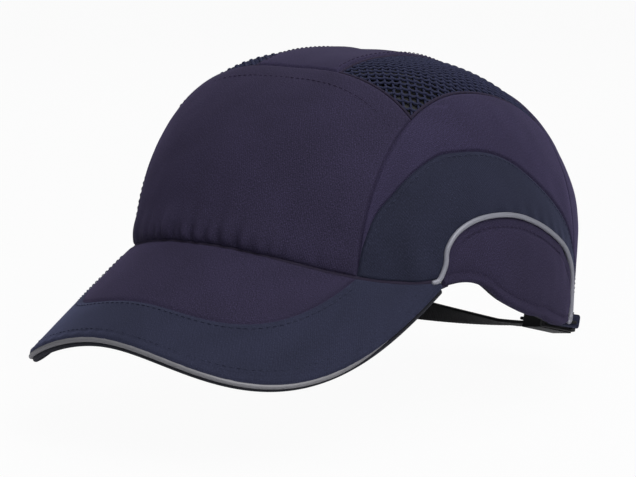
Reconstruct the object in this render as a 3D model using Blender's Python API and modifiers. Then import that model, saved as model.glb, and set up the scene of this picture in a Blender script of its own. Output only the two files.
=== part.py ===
"""Textile bump cap: a sewn fabric crown with mesh vents and a long curved peak,
over a hard head shell with foam pads, a sweatband and a rear strap with a
lever buckle.

+Z is up, -Y is the front (peak side) and +X is the wearer's left.  Lengths are
in millimetres and angles in degrees; meshes are scaled to metres by MM.
Everything is drawn from the middle of the head opening.  The finished cap has
its origin at DATUM, the middle of the crown pad's flat underside.
"""
import math
from collections import namedtuple

import bmesh
import bpy
import numpy as np
from mathutils import Matrix, Vector

for old in list(bpy.data.objects):
    bpy.data.objects.remove(old, do_unlink=True)

MM = 0.001

# ---- crown: half of a squared ellipsoid over a straight wall ----------------
HALF_WIDTH = 87.0        # outside half width of the crown
FRONT_LEN = 92.0         # dome centre to forehead
BACK_LEN = 130.0         # dome centre to nape
DOME_H = 101.0           # dome height over its widest level
DOME_Y = -19.0           # dome centre, y
DOME_Z = 14.0            # widest level, z
PLAN_N = 1.9             # plan exponent
FRONT_Q, SIDE_Q, BACK_Q = 2.03, 2.89, 1.72   # profile exponents
NAPE_TUCK = 0.06         # how much the wall behind the ears leans in towards its lower edge
TUCK_Y, TUCK_RAMP = 30.0, 45.0               # where the tuck starts, and the y it grows over
TUCK_Z = 52.0            # the tuck works below this level
CORE = np.array([0.0, 0.0, 25.0])            # centre that points are cast from
CAST_REACH = 260.0       # length of a cast ray, longer than the cap
HALVINGS = 44            # bisection steps

CLOTH = 1.2              # fabric thickness
GAP = 0.3                # gap kept at each side of a seam

# ---- seams ------------------------------------------------------------------
SEAM_X = 60.5            # front panel / side arch seam, and outer mesh edge
STRIP_X = 22.0           # half width of the centre strip
TRANS_Y = -48.0          # seam across the crown behind the front panel
MESH_END_Y = 42.0        # rear end of the mesh vents
TEMPLE_X = 79.3          # outer end of the peak / crown joint
PIPE_R = 1.1             # piping radius
PIPE_CLEAR = PIPE_R + GAP + 0.15             # side panel and lobe edges from the piping axis

# ---- peak -------------------------------------------------------------------
PEAK_Z = 44.0            # peak / crown joint in the middle
PEAK_Y = -107.0
PEAK_SLOPE = 0.547       # fall per mm forward
PEAK_ARCH = 23.8         # drop of the arch at ARCH_X
PEAK_ARCH_N = 2.08
ARCH_X = 60.0            # distance from the middle where arch and wing bends are given
PEAK_HALF_W = 81.6       # half width at the temples
PEAK_LEN = 109.0         # temples to the front edge
PEAK_N = 2.88
TEMPLE_Y = -53.0
PEAK_DROOP, PEAK_LIFT = 3.0, 0.9             # the right wing hangs and the left one stands
WING_Y, WING_LEN, WING_HALF_W = -6.0, 107.0, 90.0   # ellipse ahead of which the wings bend
WING_RUN = 54.0          # distance ahead of that ellipse where the full bend is reached
WING_N = 1.5
BAND_W, BAND_LEN, BAND_N = 61.2, 88.0, 3.0   # inner panel of the peak
PEAK_EDGE_INSET = PIPE_R + 0.4               # cloth edge inside the piping axis
PEAK_CENTRE = np.array([0, -100.0, -60.0])   # point under the peak, to tell its top side

# ---- head shell and pads ----------------------------------------------------
SHELL_OFF, SHELL_T = -2.4, 2.0               # outer face from the crown surface, thickness
SHELL_Y = -5.0                               # shell pole, y
PAD_OFF = SHELL_OFF - SHELL_T - 1.4          # outer face of the pads
PAD_T = 4.0
CROWN_PAD_Y = -14.0                          # middle of the crown pad
CROWN_PAD_Z = 99.0                           # flat underside of the crown pad
CROWN_PAD_HALF = (30, 34)                    # its half sizes in x and y

# ---- rear strap: an arc in a plane that falls towards the nape --------------
STRAP_R = 53.1
STRAP_FALL = math.radians(17.8)
STRAP_ROLL = math.radians(2.5)
STRAP_LEAN = math.radians(90.0)              # buckle side, lying flat
STRAP_LEAN_R = math.radians(40.5)            # fixed end on the right, more upright
LEAN_START, LEAN_RUN = 5.0, 53.0             # degrees to the right over which the lean changes
STRAP_CENTRE = np.array([0.0, 51.0, -1.4])
STRAP_W = 12.0
STRAP_T = 1.4
HALF_W, HALF_T = STRAP_W / 2, STRAP_T / 2
TAIL_LOW = HALF_T + 0.4                      # underside of the tail over the strap
TAIL_TOP = TAIL_LOW + STRAP_T

# ---- buckle: x along the strap, y across it, z outward ----------------------
BUCKLE_AT = math.radians(25.0)
BUCKLE_HALF_LEN = 8.0
CHEEK_IN, CHEEK_OUT = HALF_W + 1.0, HALF_W + 2.2   # cheek plates of the frame
CHEEK_TOP = 7.2
FLOOR_LOW, FLOOR_TOP = -2.4, -1.2
PIVOT = (-5.0, 5.4)                          # lever axis, x and z
PIN_R, BORE_R = 0.95, 1.3

DATUM = np.array([0.0, CROWN_PAD_Y, CROWN_PAD_Z])
MIRROR = np.array([-1.0, 1.0, 1.0])
SIDES = (("left", np.ones(3)), ("right", MIRROR))

# ---- finishes ---------------------------------------------------------------
Finish = namedtuple("Finish", "rgb roughness metallic", defaults=(0.0,))

PURPLE, NAVY, GREY = (0.034, 0.028, 0.052), (0.024, 0.027, 0.046), (0.30, 0.30, 0.34)
PURPLE_CLOTH = Finish(rgb=PURPLE, roughness=0.92)
NAVY_CLOTH = Finish(rgb=NAVY, roughness=0.92)
MESH_CLOTH = Finish(rgb=(0.020, 0.024, 0.050), roughness=0.92)
PIPING = Finish(rgb=GREY, roughness=0.4)
EDGE_BINDING = Finish(rgb=NAVY, roughness=0.9)
BOARD = Finish(rgb=(0.02, 0.02, 0.02), roughness=0.6)
SHELL_PLASTIC = Finish(rgb=(0.010, 0.010, 0.011), roughness=0.35)
SWEAT_CLOTH = Finish(rgb=(0.012, 0.012, 0.014), roughness=0.95)
FOAM = Finish(rgb=(0.02, 0.02, 0.022), roughness=0.95)
WEBBING = Finish(rgb=(0.008, 0.008, 0.010), roughness=0.85)
ANCHOR_CLOTH = Finish(rgb=NAVY, roughness=0.85)
FRAME_METAL = Finish(rgb=(0.35, 0.35, 0.36), roughness=0.3, metallic=1.0)
PIN_METAL = Finish(rgb=(0.4, 0.4, 0.41), roughness=0.25, metallic=1.0)
LEVER_METAL = Finish(rgb=(0.35, 0.35, 0.36), roughness=0.28, metallic=1.0)


# =============================================================================
# crown surface
# =============================================================================
def dome_level(p):
    """Negative inside the crown surface, zero on it and positive outside."""
    p = np.asarray(p, float)
    ramp = np.clip((p[..., 1] - TUCK_Y) / TUCK_RAMP, 0, 1)
    depth = np.clip((TUCK_Z - p[..., 2]) / TUCK_Z, 0, 1.2)
    tuck = 1 + NAPE_TUCK * ramp * ramp * (3 - 2 * ramp) * depth ** 1.3
    x, y = p[..., 0] * tuck, (p[..., 1] - DOME_Y) * tuck
    across, along = x / HALF_WIDTH, y / np.where(y < 0, FRONT_LEN, BACK_LEN)
    radius = (np.abs(across) ** PLAN_N + np.abs(along) ** PLAN_N) ** (1 / PLAN_N)
    # the profile exponent blends from the sides to the front or back
    lengthways = along ** 2 / (along ** 2 + across ** 2 + 1e-9)
    q = SIDE_Q * (1 - lengthways) + np.where(y < 0, FRONT_Q, BACK_Q) * lengthways
    h = np.maximum(p[..., 2] - DOME_Z, 0) / DOME_H
    return np.where(h > 0, (radius ** q + h ** q) ** (1 / q) - 1, radius - 1)


def cast(origin, direction):
    """Where the ray from origin leaves the dome."""
    d = np.asarray(direction, float)
    d = d / np.linalg.norm(d, axis=-1, keepdims=True)
    near = np.zeros(d.shape[:-1])
    far = np.full(d.shape[:-1], CAST_REACH)
    for _ in range(HALVINGS):
        middle = (near + far) / 2
        out = dome_level(origin + d * middle[..., None]) > 0
        far = np.where(out, middle, far)
        near = np.where(out, near, middle)
    return origin + d * near[..., None]


def normal(p):
    """Outward unit normal of the dome, by central differences."""
    slope = np.stack([dome_level(p + step) - dome_level(p - step) for step in np.eye(3) * 0.4], -1)
    return slope / (np.linalg.norm(slope, axis=-1, keepdims=True) + 1e-12)


def snap(p, off=0.0):
    """Points cast from CORE on to the dome, then moved out by off."""
    q = cast(CORE, np.asarray(p, float) - CORE)
    return q + normal(q) * off if off else q


def section(x, start, stop, count=60):
    """The dome's outline in the plane x, between two angles: 0 is the back, 90 the top."""
    angle = np.radians(np.linspace(start, stop, count))
    origin = np.array([x, 0.0, CORE[2]])
    return cast(origin, np.stack([0 * angle, np.cos(angle), np.sin(angle)], -1))


def section_angle(x, axis, value, low=3.0, high=177.0):
    """Angle in the section x where the coordinate of an axis falls to value."""
    for _ in range(HALVINGS):
        middle = (low + high) / 2
        if section(x, middle, middle, 1)[0, axis] > value:
            low = middle
        else:
            high = middle
    return (low + high) / 2


def line_across(y, xs):
    """Dome points over a given y, one for each x."""
    angles = [section_angle(x, 1, y) for x in xs]
    return np.array([section(x, angle, angle, 1)[0] for x, angle in zip(xs, angles)])


# =============================================================================
# peak surface
# =============================================================================
def peak_z(x, y):
    ellipse = WING_LEN * np.sqrt(np.clip(1 - (x / WING_HALF_W) ** 2, 0, 1))
    ahead = np.clip(WING_Y - y - ellipse, 0, None)
    wing = (np.abs(x) / ARCH_X) ** WING_N * (ahead / WING_RUN) ** WING_N
    return (PEAK_Z + PEAK_SLOPE * (y - PEAK_Y) - PEAK_ARCH * np.abs(x / ARCH_X) ** PEAK_ARCH_N
            + np.where(x < 0, -PEAK_DROOP, PEAK_LIFT) * wing)


def peak_point(xy, off=0.0):
    """Point on the peak surface, moved by off along its upward normal."""
    x, y = xy[..., 0], xy[..., 1]
    e = 0.25
    n = np.stack([(peak_z(x - e, y) - peak_z(x + e, y)) / (2 * e),
                  (peak_z(x, y - e) - peak_z(x, y + e)) / (2 * e), 0 * x + 1], -1)
    n /= np.linalg.norm(n, axis=-1, keepdims=True)
    return np.stack([x, y, peak_z(x, y)], -1) + n * off


def joint_curve(x):
    """Line where the peak meets the crown."""
    x = np.asarray(x, float)
    forward = np.tile(np.array([0.0, -1.0, 0.0]), (len(x), 1))

    def front_y(z):
        return cast(np.stack([x, 0 * x - 15.0, z], -1), forward)[:, 1]

    z = PEAK_Z - 9.2 * np.abs(x / 58.0) ** 1.5    # first guess
    for _ in range(16):
        z = 0.5 * z + 0.5 * peak_z(x, front_y(z))
    return np.stack([x, front_y(z), z], -1)


# =============================================================================
# curves: rows of points, or functions of the share of the way along
# =============================================================================
def spline(points, count=12):
    """Catmull-Rom curve through the points."""
    p = np.asarray(points, float)
    p = np.vstack([2 * p[0] - p[1], p, 2 * p[-1] - p[-2]])
    t = np.linspace(0, 1, count, endpoint=False)[:, None]
    out = [0.5 * (2 * b + (c - a) * t + (2 * a - 5 * b + 4 * c - d) * t ** 2
                  + (3 * b - a - 3 * c + d) * t ** 3)
           for a, b, c, d in zip(p, p[1:], p[2:], p[3:])]
    return np.vstack(out + [p[-2][None]])


def at(curve, shares):
    """Points at the length fractions of a polyline."""
    d = np.r_[0, np.cumsum(np.linalg.norm(np.diff(curve, axis=0), axis=1))]
    s = np.asarray(shares, float) * d[-1]
    return np.stack([np.interp(s, d, curve[:, i]) for i in range(3)], -1)


def length(curve):
    return float(np.linalg.norm(np.diff(curve, axis=0), axis=1).sum())


def path(curve):
    """A curve as a function of the share of its length."""
    return curve if callable(curve) else lambda shares: at(curve, shares)


def chain(*parts):
    """Curves end to end; each part is (curve, share), and the shares add up to 1."""
    edges = np.cumsum([0] + [share for _, share in parts])

    def chained(u):
        out = np.zeros(u.shape + (3,))
        for (curve, _), start, stop in zip(parts, edges, edges[1:]):
            m = (u >= start - 1e-9) & (u <= stop + 1e-9)
            out[m] = at(curve, (u[m] - start) / (stop - start))
        return out
    return chained


def coons(bottom, top, left, right, us, vs):
    """Coons patch between four curves, at the shares us along and vs across."""
    bottom, top, left, right = (path(c) for c in (bottom, top, left, right))
    u = np.asarray(us)[:, None, None]
    v = np.asarray(vs)[None, :, None]
    b, t, l, r = bottom(us)[:, None], top(us)[:, None], left(vs)[None], right(vs)[None]
    zero, full = np.array([0.0]), np.array([1.0])
    return ((1 - v) * b + v * t + (1 - u) * l + u * r
            - ((1 - u) * (1 - v) * bottom(zero) + u * (1 - v) * bottom(full)
               + (1 - u) * v * top(zero) + u * v * top(full)))


def steps(count, total, start=GAP, end=GAP, breaks=()):
    """count+1 shares of a total length, from start to end mm inside its ends.

    The share nearest to each break is moved on to it.
    """
    u = np.linspace(start / total, 1 - end / total, count + 1)
    for k in breaks:
        u[np.argmin(np.abs(u - k))] = k
    return u


def span(inner, outer, shares, inner_gap, outer_gap, count):
    """Grid of straight rows between two curves, with a gap in mm at each end."""
    a, b = path(inner)(shares), path(outer)(shares)
    width = np.maximum(np.linalg.norm(b - a, axis=1), 1.0)
    t = np.linspace(inner_gap / width, 1 - outer_gap / width, count).T
    return a[:, None] + (b - a)[:, None] * t[..., None]


def mirror(curve):
    return curve * MIRROR


def flat(curve):
    return curve * np.array([1.0, 1.0, 0.0])


def superellipse(half_width, reach, exponent):
    """Front half of a superellipse round the temples, from left to right, at z = 0."""
    t = np.linspace(0, math.pi, 161)
    c, s = np.cos(t), np.sin(t)
    return np.stack([half_width * np.sign(c) * np.abs(c) ** (2 / exponent),
                     TEMPLE_Y - reach * np.abs(s) ** (2 / exponent), 0 * t], -1)


# =============================================================================
# seam lines; those on one side only are drawn on the left
# =============================================================================
joint = joint_curve(np.linspace(-TEMPLE_X, TEMPLE_X, 161))
joint_mid = joint_curve(np.linspace(-SEAM_X, SEAM_X, 81))
joint_side = joint_curve(np.linspace(TEMPLE_X, SEAM_X, 30))   # temple to front_corner
# where the front panel, side arch and peak meet
front_corner = joint_curve(np.array([SEAM_X]))[0]

trans_angle = section_angle(SEAM_X, 1, TRANS_Y)
front_angle = section_angle(SEAM_X, 2, front_corner[2], trans_angle, 176.0)
seam_front = section(SEAM_X, front_angle, trans_angle)        # front_corner up to the mesh
seam_front[0] = front_corner
mesh_outer = section(SEAM_X, trans_angle, section_angle(SEAM_X, 1, MESH_END_Y))
mesh_corner = mesh_outer[-1]                                  # outer rear corner of the mesh
trans_seam = line_across(TRANS_Y, np.linspace(-SEAM_X, SEAM_X, 41))
mesh_end = line_across(MESH_END_Y, np.linspace(STRIP_X, SEAM_X, 15))

# rear opening, left half from its lower end to the top (x, y, z)
OPENING_HALF = [(60, 72, -6), (57, 78, 10), (48, 87, 25), (36, 93, 35), (STRIP_X, 98, 41),
                (0, 102, 44)]
opening = snap(spline(OPENING_HALF + [(-x, y, z) for x, y, z in OPENING_HALF[-2::-1]]))
strip_index = np.argmin(np.abs(opening[:, 0] - STRIP_X))
strip_end = opening[strip_index]                              # strip edge meets the opening
opening_left = opening[:strip_index + 1]

strip_start_angle = section_angle(STRIP_X, 1, TRANS_Y)
strip_end_angle = math.degrees(math.atan2(strip_end[2] - CORE[2], strip_end[1]))
strip_edge = section(STRIP_X, strip_start_angle, strip_end_angle)
strip_edge[-1] = strip_end
mesh_inner = section(STRIP_X, strip_start_angle, section_angle(STRIP_X, 1, MESH_END_Y))

# seam over the side panel, from front_corner back to the opening (x, y, z)
ARCH_SPLIT = (73, 47, 30)                                     # side arch / rear panel seam
side_top = snap(spline([
    front_corner, (61, -80, 43), (62, -77, 51), (63, -73, 58), (66, -67, 65), (69, -58, 73),
    (72, -46, 79), (75, -36, 80), (78, -22, 79), (79, -8, 74), (80, 9, 64), (79, 24, 54),
    (76, 37, 43), ARCH_SPLIT, (69, 57, 16), OPENING_HALF[0]]))
split_index = np.argmin(np.linalg.norm(side_top - snap(ARCH_SPLIT), axis=1))
side_top_front, side_top_rear = side_top[:split_index + 1], side_top[split_index:]
arch_end = snap(np.linspace(side_top[split_index], mesh_corner, 15))

# upper and lower edges of the ear lobe, from the temple backwards (x, y, z)
lobe_top = snap(spline([
    joint_side[0] + (0, 0, 0.3), (80, -51, 37), (80, -50, 43), (81, -45, 49), (83, -36, 53),
    (85, -24, 54), (85, -10, 52), (84, 5, 47), (82, 18, 41), (79, 30, 34), (77, 38, 26),
    (76, 42, 18), (76, 42, 10), (76, 41, 3)]))
lobe_low = snap(spline([
    (80, -53, 28), (83, -44, 29), (85, -37, 28), (86, -30, 25), (87, -21.5, 19),
    (87, -10, 13.5), (86, 0, 10), (85, 8, 8), (83, 18, 4), (80, 29, 1), (77, 38, 1)]))


# =============================================================================
# object helpers
# =============================================================================
def new_collection(name):
    group = bpy.data.collections.new(name)
    bpy.context.scene.collection.children.link(group)
    return group


cap = new_collection("bump_cap")
cutters = new_collection("cutters")
cutters.hide_render = True


def material(name, finish):
    mat = bpy.data.materials.new(name)
    mat.use_nodes = True
    inputs = mat.node_tree.nodes["Principled BSDF"].inputs
    inputs["Base Color"].default_value = (*finish.rgb, 1)
    inputs["Roughness"].default_value = finish.roughness
    inputs["Metallic"].default_value = finish.metallic
    mat.diffuse_color = (*finish.rgb, 1)
    return mat


def new_object(name, verts, faces, finish, origin=DATUM):
    """Mesh object with its origin at a drawn point; without a finish it is a cutter."""
    mesh = bpy.data.meshes.new(name)
    origin = np.asarray(origin, float)
    mesh.from_pydata([tuple((np.asarray(v) - origin) * MM) for v in verts], [], faces)
    mesh.update()
    obj = bpy.data.objects.new(name, mesh)
    obj.location = Vector((origin - DATUM) * MM)
    (cap if finish else cutters).objects.link(obj)
    if finish:
        mesh.materials.append(material(name, finish))
    return obj


def recalc_normals(obj):
    bm = bmesh.new()
    bm.from_mesh(obj.data)
    bmesh.ops.recalc_face_normals(bm, faces=bm.faces)
    bm.to_mesh(obj.data)
    bm.free()


def thicken(obj, thickness):
    """Solidify against the face normals."""
    mod = obj.modifiers.new("thickness", "SOLIDIFY")
    mod.thickness = thickness * MM
    mod.offset = -1.0


def sheet(name, grid, thickness, finish, centre=CORE):
    """A thin panel from a grid of points, thickened towards the centre."""
    nu, nv = grid.shape[:2]
    verts = grid.reshape(-1, 3)
    faces = [(i * nv + j, (i + 1) * nv + j, (i + 1) * nv + j + 1, i * nv + j + 1)
             for i in range(nu - 1) for j in range(nv - 1)]
    a, b, c = (verts[[face[k] for face in faces]] for k in range(3))
    if (np.cross(b - a, c - a) * (a - centre)).sum() < 0:
        faces = [face[::-1] for face in faces]
    thicken(new_object(name, verts, faces, finish), thickness)


def tube(name, p, radius, finish, sides=6):
    """Round cord along the points, with its section carried along without twist."""
    t = np.gradient(p, axis=0)
    t /= np.linalg.norm(t, axis=1, keepdims=True)
    up = np.array([0.0, 0.0, 1.0]) if abs(t[0, 2]) < 0.8 else np.array([0.0, 1.0, 0.0])
    n = np.cross(t[0], up)
    verts = []
    for point, along in zip(p, t):
        n = n - along * np.dot(n, along)
        n /= np.linalg.norm(n)
        b = np.cross(along, n)
        for k in range(sides):
            a = 2 * math.pi * k / sides
            verts.append(point + radius * (math.cos(a) * n + math.sin(a) * b))
    faces = []
    for i in range(len(p) - 1):
        for k in range(sides):
            a, b = i * sides + k, i * sides + (k + 1) % sides
            faces.append((a, b, b + sides, a + sides))
    faces.append(tuple(range(sides))[::-1])
    faces.append(tuple((len(p) - 1) * sides + k for k in range(sides)))
    new_object(name, verts, faces, finish)


# =============================================================================
# crown fabric
# =============================================================================
def front_panel():
    grid = coons(joint_mid, trans_seam, mirror(seam_front), seam_front,
                 steps(14, length(joint_mid)), steps(8, length(seam_front)))
    sheet("front_panel", snap(grid), CLOTH, PURPLE_CLOTH)


def centre_strip():
    rear = opening[np.abs(opening[:, 0]) <= STRIP_X + 1e-6][::-1]
    rear = np.vstack([mirror(strip_end), rear[1:-1], strip_end])
    front = trans_seam[np.abs(trans_seam[:, 0]) <= STRIP_X]
    front = np.vstack([mirror(strip_edge[0]), front, strip_edge[0]])
    grid = coons(front, rear, mirror(strip_edge), strip_edge,
                 steps(4, 2 * STRIP_X), steps(20, length(strip_edge)))
    sheet("crown_centre_strip", snap(grid), CLOTH, PURPLE_CLOTH)


def mesh_grid():
    front = np.vstack([mesh_inner[0], trans_seam[trans_seam[:, 0] >= STRIP_X]])
    # seam gaps are set on a nominal vent of 40 by 92 mm
    return snap(coons(front, mesh_end, mesh_inner, mesh_outer, steps(6, 40.0), steps(10, 92.0)))


def arch_grid():
    """Side arch: it starts in a point at front_corner."""
    edges = (side_top_front, chain((seam_front, 0.3), (mesh_outer, 0.7)),
             np.array([front_corner, front_corner]), arch_end)
    shares = steps(18, length(side_top_front), start=4.0, breaks=(0.3,))
    ends = coons(*edges, shares, np.array([0.0, 1.0]))
    rows = []
    for share, width in zip(shares, np.linalg.norm(ends[:, 1] - ends[:, 0], axis=-1)):
        # keep the same clear seam along both long edges
        seam = 1.5 * GAP / max(width, 1.0)
        rows.append(coons(*edges, np.array([share]), np.linspace(seam, 1 - seam, 6))[0])
    return snap(np.array(rows))


def rear_grid():
    strip_side = strip_edge[np.argmin(np.abs(strip_edge[:, 1] - MESH_END_Y)):]
    strip_side = np.vstack([mesh_inner[-1], strip_side[1:]])[::-1]    # opening up to the mesh
    return snap(coons(opening_left[::-1], chain((mesh_end, 0.42), (arch_end[::-1], 0.58)),
                      strip_side, side_top_rear[::-1],
                      steps(12, length(opening_left), breaks=(0.42,)),
                      steps(7, 60.0, start=GAP + 0.2)))      # on a nominal height of 60 mm


fine_lobe_top = at(lobe_top, np.linspace(0, 1, 500))
fine_shares = np.linspace(0, 1, 161)


def clear_of_piping(row):
    """Share of a row after which it stays clear of the side piping."""
    p = snap(row)
    distance = np.linalg.norm(p[:, None] - fine_lobe_top[None], axis=-1).min(1)
    near = np.nonzero(distance < PIPE_CLEAR)[0]
    return (near[-1] + 1) / (len(p) - 1) if len(near) else 0.0


def side_grid():
    """Side panel, between the lobe and the arch."""
    rear_end = snap(np.linspace(lobe_top[-1], side_top[-1], 9))
    rows = []
    for share in steps(22, length(lobe_top), start=1.2):
        row = coons(lobe_top, side_top, joint_side, rear_end, np.array([share]), fine_shares)[0]
        seam = 1.8 * GAP / length(row)
        rows.append(at(row, np.linspace(clear_of_piping(row), 1 - seam, 6)))
    return snap(np.array(rows))


def lobe_grid():
    rows = []
    for share in steps(20, length(lobe_low), start=7.0, end=4.0):
        row = at(np.array([at(lobe_top, share), at(lobe_low, share)]), fine_shares)
        rows.append(at(row, np.linspace(clear_of_piping(row), 1, 5)))
    return snap(np.array(rows))


def paired_panels():
    panels = (("mesh_panel", mesh_grid(), MESH_CLOTH),
              ("side_arch", arch_grid(), PURPLE_CLOTH),
              ("rear_panel", rear_grid(), PURPLE_CLOTH),
              ("side_panel", side_grid(), NAVY_CLOTH),
              ("ear_lobe", lobe_grid(), PURPLE_CLOTH))
    for side, flip in SIDES:
        for name, grid, finish in panels:
            sheet(f"{name}_{side}", grid * flip, CLOTH, finish)


def side_piping():
    line = at(lobe_top, np.linspace(0.012, 0.995, 26))
    line = line + normal(line) * 0.3
    for side, flip in SIDES:
        tube(f"side_piping_{side}", line * flip, PIPE_R, PIPING)


def opening_binding():
    """Binding round the rear opening, laid from its edge towards the middle."""
    edge = at(opening, steps(30, length(opening), start=2.0, end=2.0))
    inward = np.array([0.0, 98.0, 0.0]) - edge
    inward /= np.linalg.norm(inward, axis=1)[:, None]
    rows = np.stack([edge + inward * d for d in (0.5, 2.4, 4.4)], 1)
    sheet("rear_opening_binding", snap(rows, 0.2), 1.8, NAVY_CLOTH)


# =============================================================================
# peak
# =============================================================================
def peak_curve(inset):
    return superellipse(PEAK_HALF_W - inset, PEAK_LEN - inset, PEAK_N)


outline = peak_curve(PEAK_EDGE_INSET)
division = superellipse(BAND_W, BAND_LEN, BAND_N)             # inner panel / band seam
division = np.vstack([flat(front_corner), division[division[:, 1] < front_corner[1]],
                      flat(mirror(front_corner))])


def peak_top():
    grid = span(flat(joint_mid[::-1]), division,
                steps(20, length(division), start=1.2, end=1.2), 0.5, GAP, 6)
    sheet("peak_top_inner", peak_point(grid), 0.9, PURPLE_CLOTH, PEAK_CENTRE)

    side = flat(joint_side)
    inner = chain((side, 0.12), (division, 0.76), (mirror(side[::-1]), 0.12))
    shares = steps(26, length(outline), start=6.0, end=6.0, breaks=(0.12, 0.88))
    grid = span(inner, outline, shares, 0.6, 0.0, 4)
    sheet("peak_top_band", peak_point(grid), 0.9, NAVY_CLOTH, PEAK_CENTRE)


def peak_lower_layers():
    shares = steps(22, length(outline), start=12.0, end=12.0)
    # name, offset from the peak surface, thickness, gaps at the joint and the edge, finish
    for name, off, thickness, joint_gap, edge_gap, finish in (
            ("peak_board", -1.3, 1.5, 3.0, 0.6, BOARD),
            ("peak_underside", -3.3, 0.8, 1.0, 0.0, NAVY_CLOTH)):
        grid = span(flat(joint[::-1]), outline, shares, joint_gap, edge_gap, 6)
        sheet(name, peak_point(grid, off), thickness, finish, PEAK_CENTRE)


def peak_edge():
    # name, inset from the peak outline, offset from its surface, radius, finish
    for name, inset, off, radius, finish in (
            ("peak_edge_piping", 0.0, -0.9, PIPE_R, PIPING),
            ("peak_edge_binding", 0.6, -3.4, 1.0, EDGE_BINDING)):
        line = at(peak_curve(inset), np.linspace(0.012, 0.988, 44))
        tube(name, peak_point(line, off), radius, finish)


# =============================================================================
# shell, sweatband and pads
# =============================================================================
def protective_shell():
    around, rows = 36, 10
    bearing = np.linspace(0, 2 * math.pi, around, endpoint=False)
    cos, sin = np.cos(bearing), np.sin(bearing)
    core = np.array([0.0, SHELL_Y, CORE[2]])
    rim_z = 55.0 - 3.0 * np.cos(2 * bearing)
    rim = cast(np.stack([0 * bearing, 0 * bearing + SHELL_Y, rim_z], -1),
               np.stack([cos, sin, 0 * bearing], -1)) - core
    rim_elevation = np.arctan2(rim[:, 2], np.hypot(rim[:, 0], rim[:, 1]))
    verts = []
    for j in range(rows):
        e = rim_elevation + (math.pi / 2 - rim_elevation) * j / rows
        p = cast(core, np.stack([np.cos(e) * cos, np.cos(e) * sin, np.sin(e)], -1))
        verts.extend(p + normal(p) * SHELL_OFF)
    pole = len(verts)
    verts.append(cast(core, np.array([0.0, 0.0, 1.0])) + np.array([0, 0, SHELL_OFF]))

    # open cells: two rows of slots at the front and back, one row of holes near the rim
    slots = {(i, j) for j in (5, 7) for i in range(around)
             if i % 3 != 0 and abs(math.cos(2 * math.pi * (i + 0.5) / around)) > 0.5}
    slots |= {(i, 2) for i in range(around) if i % 4 == 1}

    def index(i, j):
        return j * around + i % around

    faces = [(index(i, j), index(i + 1, j), index(i + 1, j + 1), index(i, j + 1))
             for i in range(around) for j in range(rows - 1) if (i, j) not in slots]
    faces += [(index(i, rows - 1), index(i + 1, rows - 1), pole) for i in range(around)]
    thicken(new_object("protective_shell", verts, faces, SHELL_PLASTIC), SHELL_T)


def sweatband():
    """Band inside the lower edge, from the left nape round the front to the right."""
    side = np.vstack([snap([(68, 60, 0.5), (73, 50, 1.0)]), lobe_low[::-1][2:], joint_side])
    rim = np.vstack([side, joint_mid[::-1][1:], mirror(side)[::-1][1:]])
    rim = at(rim, np.linspace(0, 1, 57))
    for _ in range(3):      # smooth the corners
        rim[1:-1] = 0.25 * rim[:-2] + 0.5 * rim[1:-1] + 0.25 * rim[2:]
    rows = np.stack([rim + np.array([0, 0, h]) for h in (1.5, 10.0, 19.0, 27.0)], 1)
    sheet("sweatband", snap(rows, -5.7), 2.2, SWEAT_CLOTH)


def pad(name, corners, nu, flip=1.0):
    """Foam pad between four corners: two along its lower edge, then two back along the top."""
    u = np.linspace(0, 1, nu + 1)[:, None, None]
    v = np.linspace(0, 1, 5)[None, :, None]
    c00, c10, c11, c01 = snap(corners)
    grid = (1 - u) * (1 - v) * c00 + u * (1 - v) * c10 + u * v * c11 + (1 - u) * v * c01
    sheet(name, snap(grid, PAD_OFF) * flip, PAD_T, FOAM)


def foam_pads():
    pad("front_pad", [(-34, -92, 77), (34, -92, 77), (30, -60, 103), (-30, -60, 103)], 8)
    pad("rear_pad", [(-28, 92, 58), (28, 92, 58), (24, 70, 86), (-24, 70, 86)], 6)
    for side, flip in SIDES:
        pad(f"side_pad_{side}", [(80, -38, 62), (79, 22, 60), (66, 18, 92), (68, -36, 92)], 6,
            flip)


def crown_pad():
    """Oval pad, domed on top and flat underneath."""
    n, rings = 24, 4
    inside_z = 60.0          # level inside the dome that the top is cast up from
    origins = [(0.0, CROWN_PAD_Y, inside_z)]
    for j in range(rings + 1):
        r = 0.25 + 0.75 * j / rings
        for i in range(n):
            a = 2 * math.pi * i / n
            origins.append((CROWN_PAD_HALF[0] * r * math.cos(a),
                            CROWN_PAD_Y + CROWN_PAD_HALF[1] * r * math.sin(a), inside_z))
    top = cast(np.array(origins), np.tile(np.array([0.0, 0.0, 1.0]), (len(origins), 1)))
    top += np.array([0, 0, PAD_OFF])
    edge = 1 + rings * n     # first vertex of the outer ring; vertex 0 is the middle
    base = len(top)
    verts = list(top) + [(x, y, CROWN_PAD_Z) for x, y, _ in top[edge:]]
    faces = []
    for start in range(1, base, n):      # each top ring and the next; the last is the wall
        for i in range(n):
            k = (i + 1) % n
            faces.append((start + i, start + n + i, start + n + k, start + k))
    faces += [(0, 1 + i, 1 + (i + 1) % n) for i in range(n)]
    faces.append(tuple(base + i for i in range(n))[::-1])
    new_object("crown_pad", verts, faces, FOAM)


# =============================================================================
# rear strap
# =============================================================================
side_axis = np.array([math.cos(STRAP_ROLL), 0.0, math.sin(STRAP_ROLL)])
rear_axis = np.array([0.0, math.cos(STRAP_FALL), -math.sin(STRAP_FALL)])
rear_axis = rear_axis - rear_axis.dot(side_axis) * side_axis
rear_axis = rear_axis / np.linalg.norm(rear_axis)
up_axis = np.cross(side_axis, rear_axis)


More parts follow.
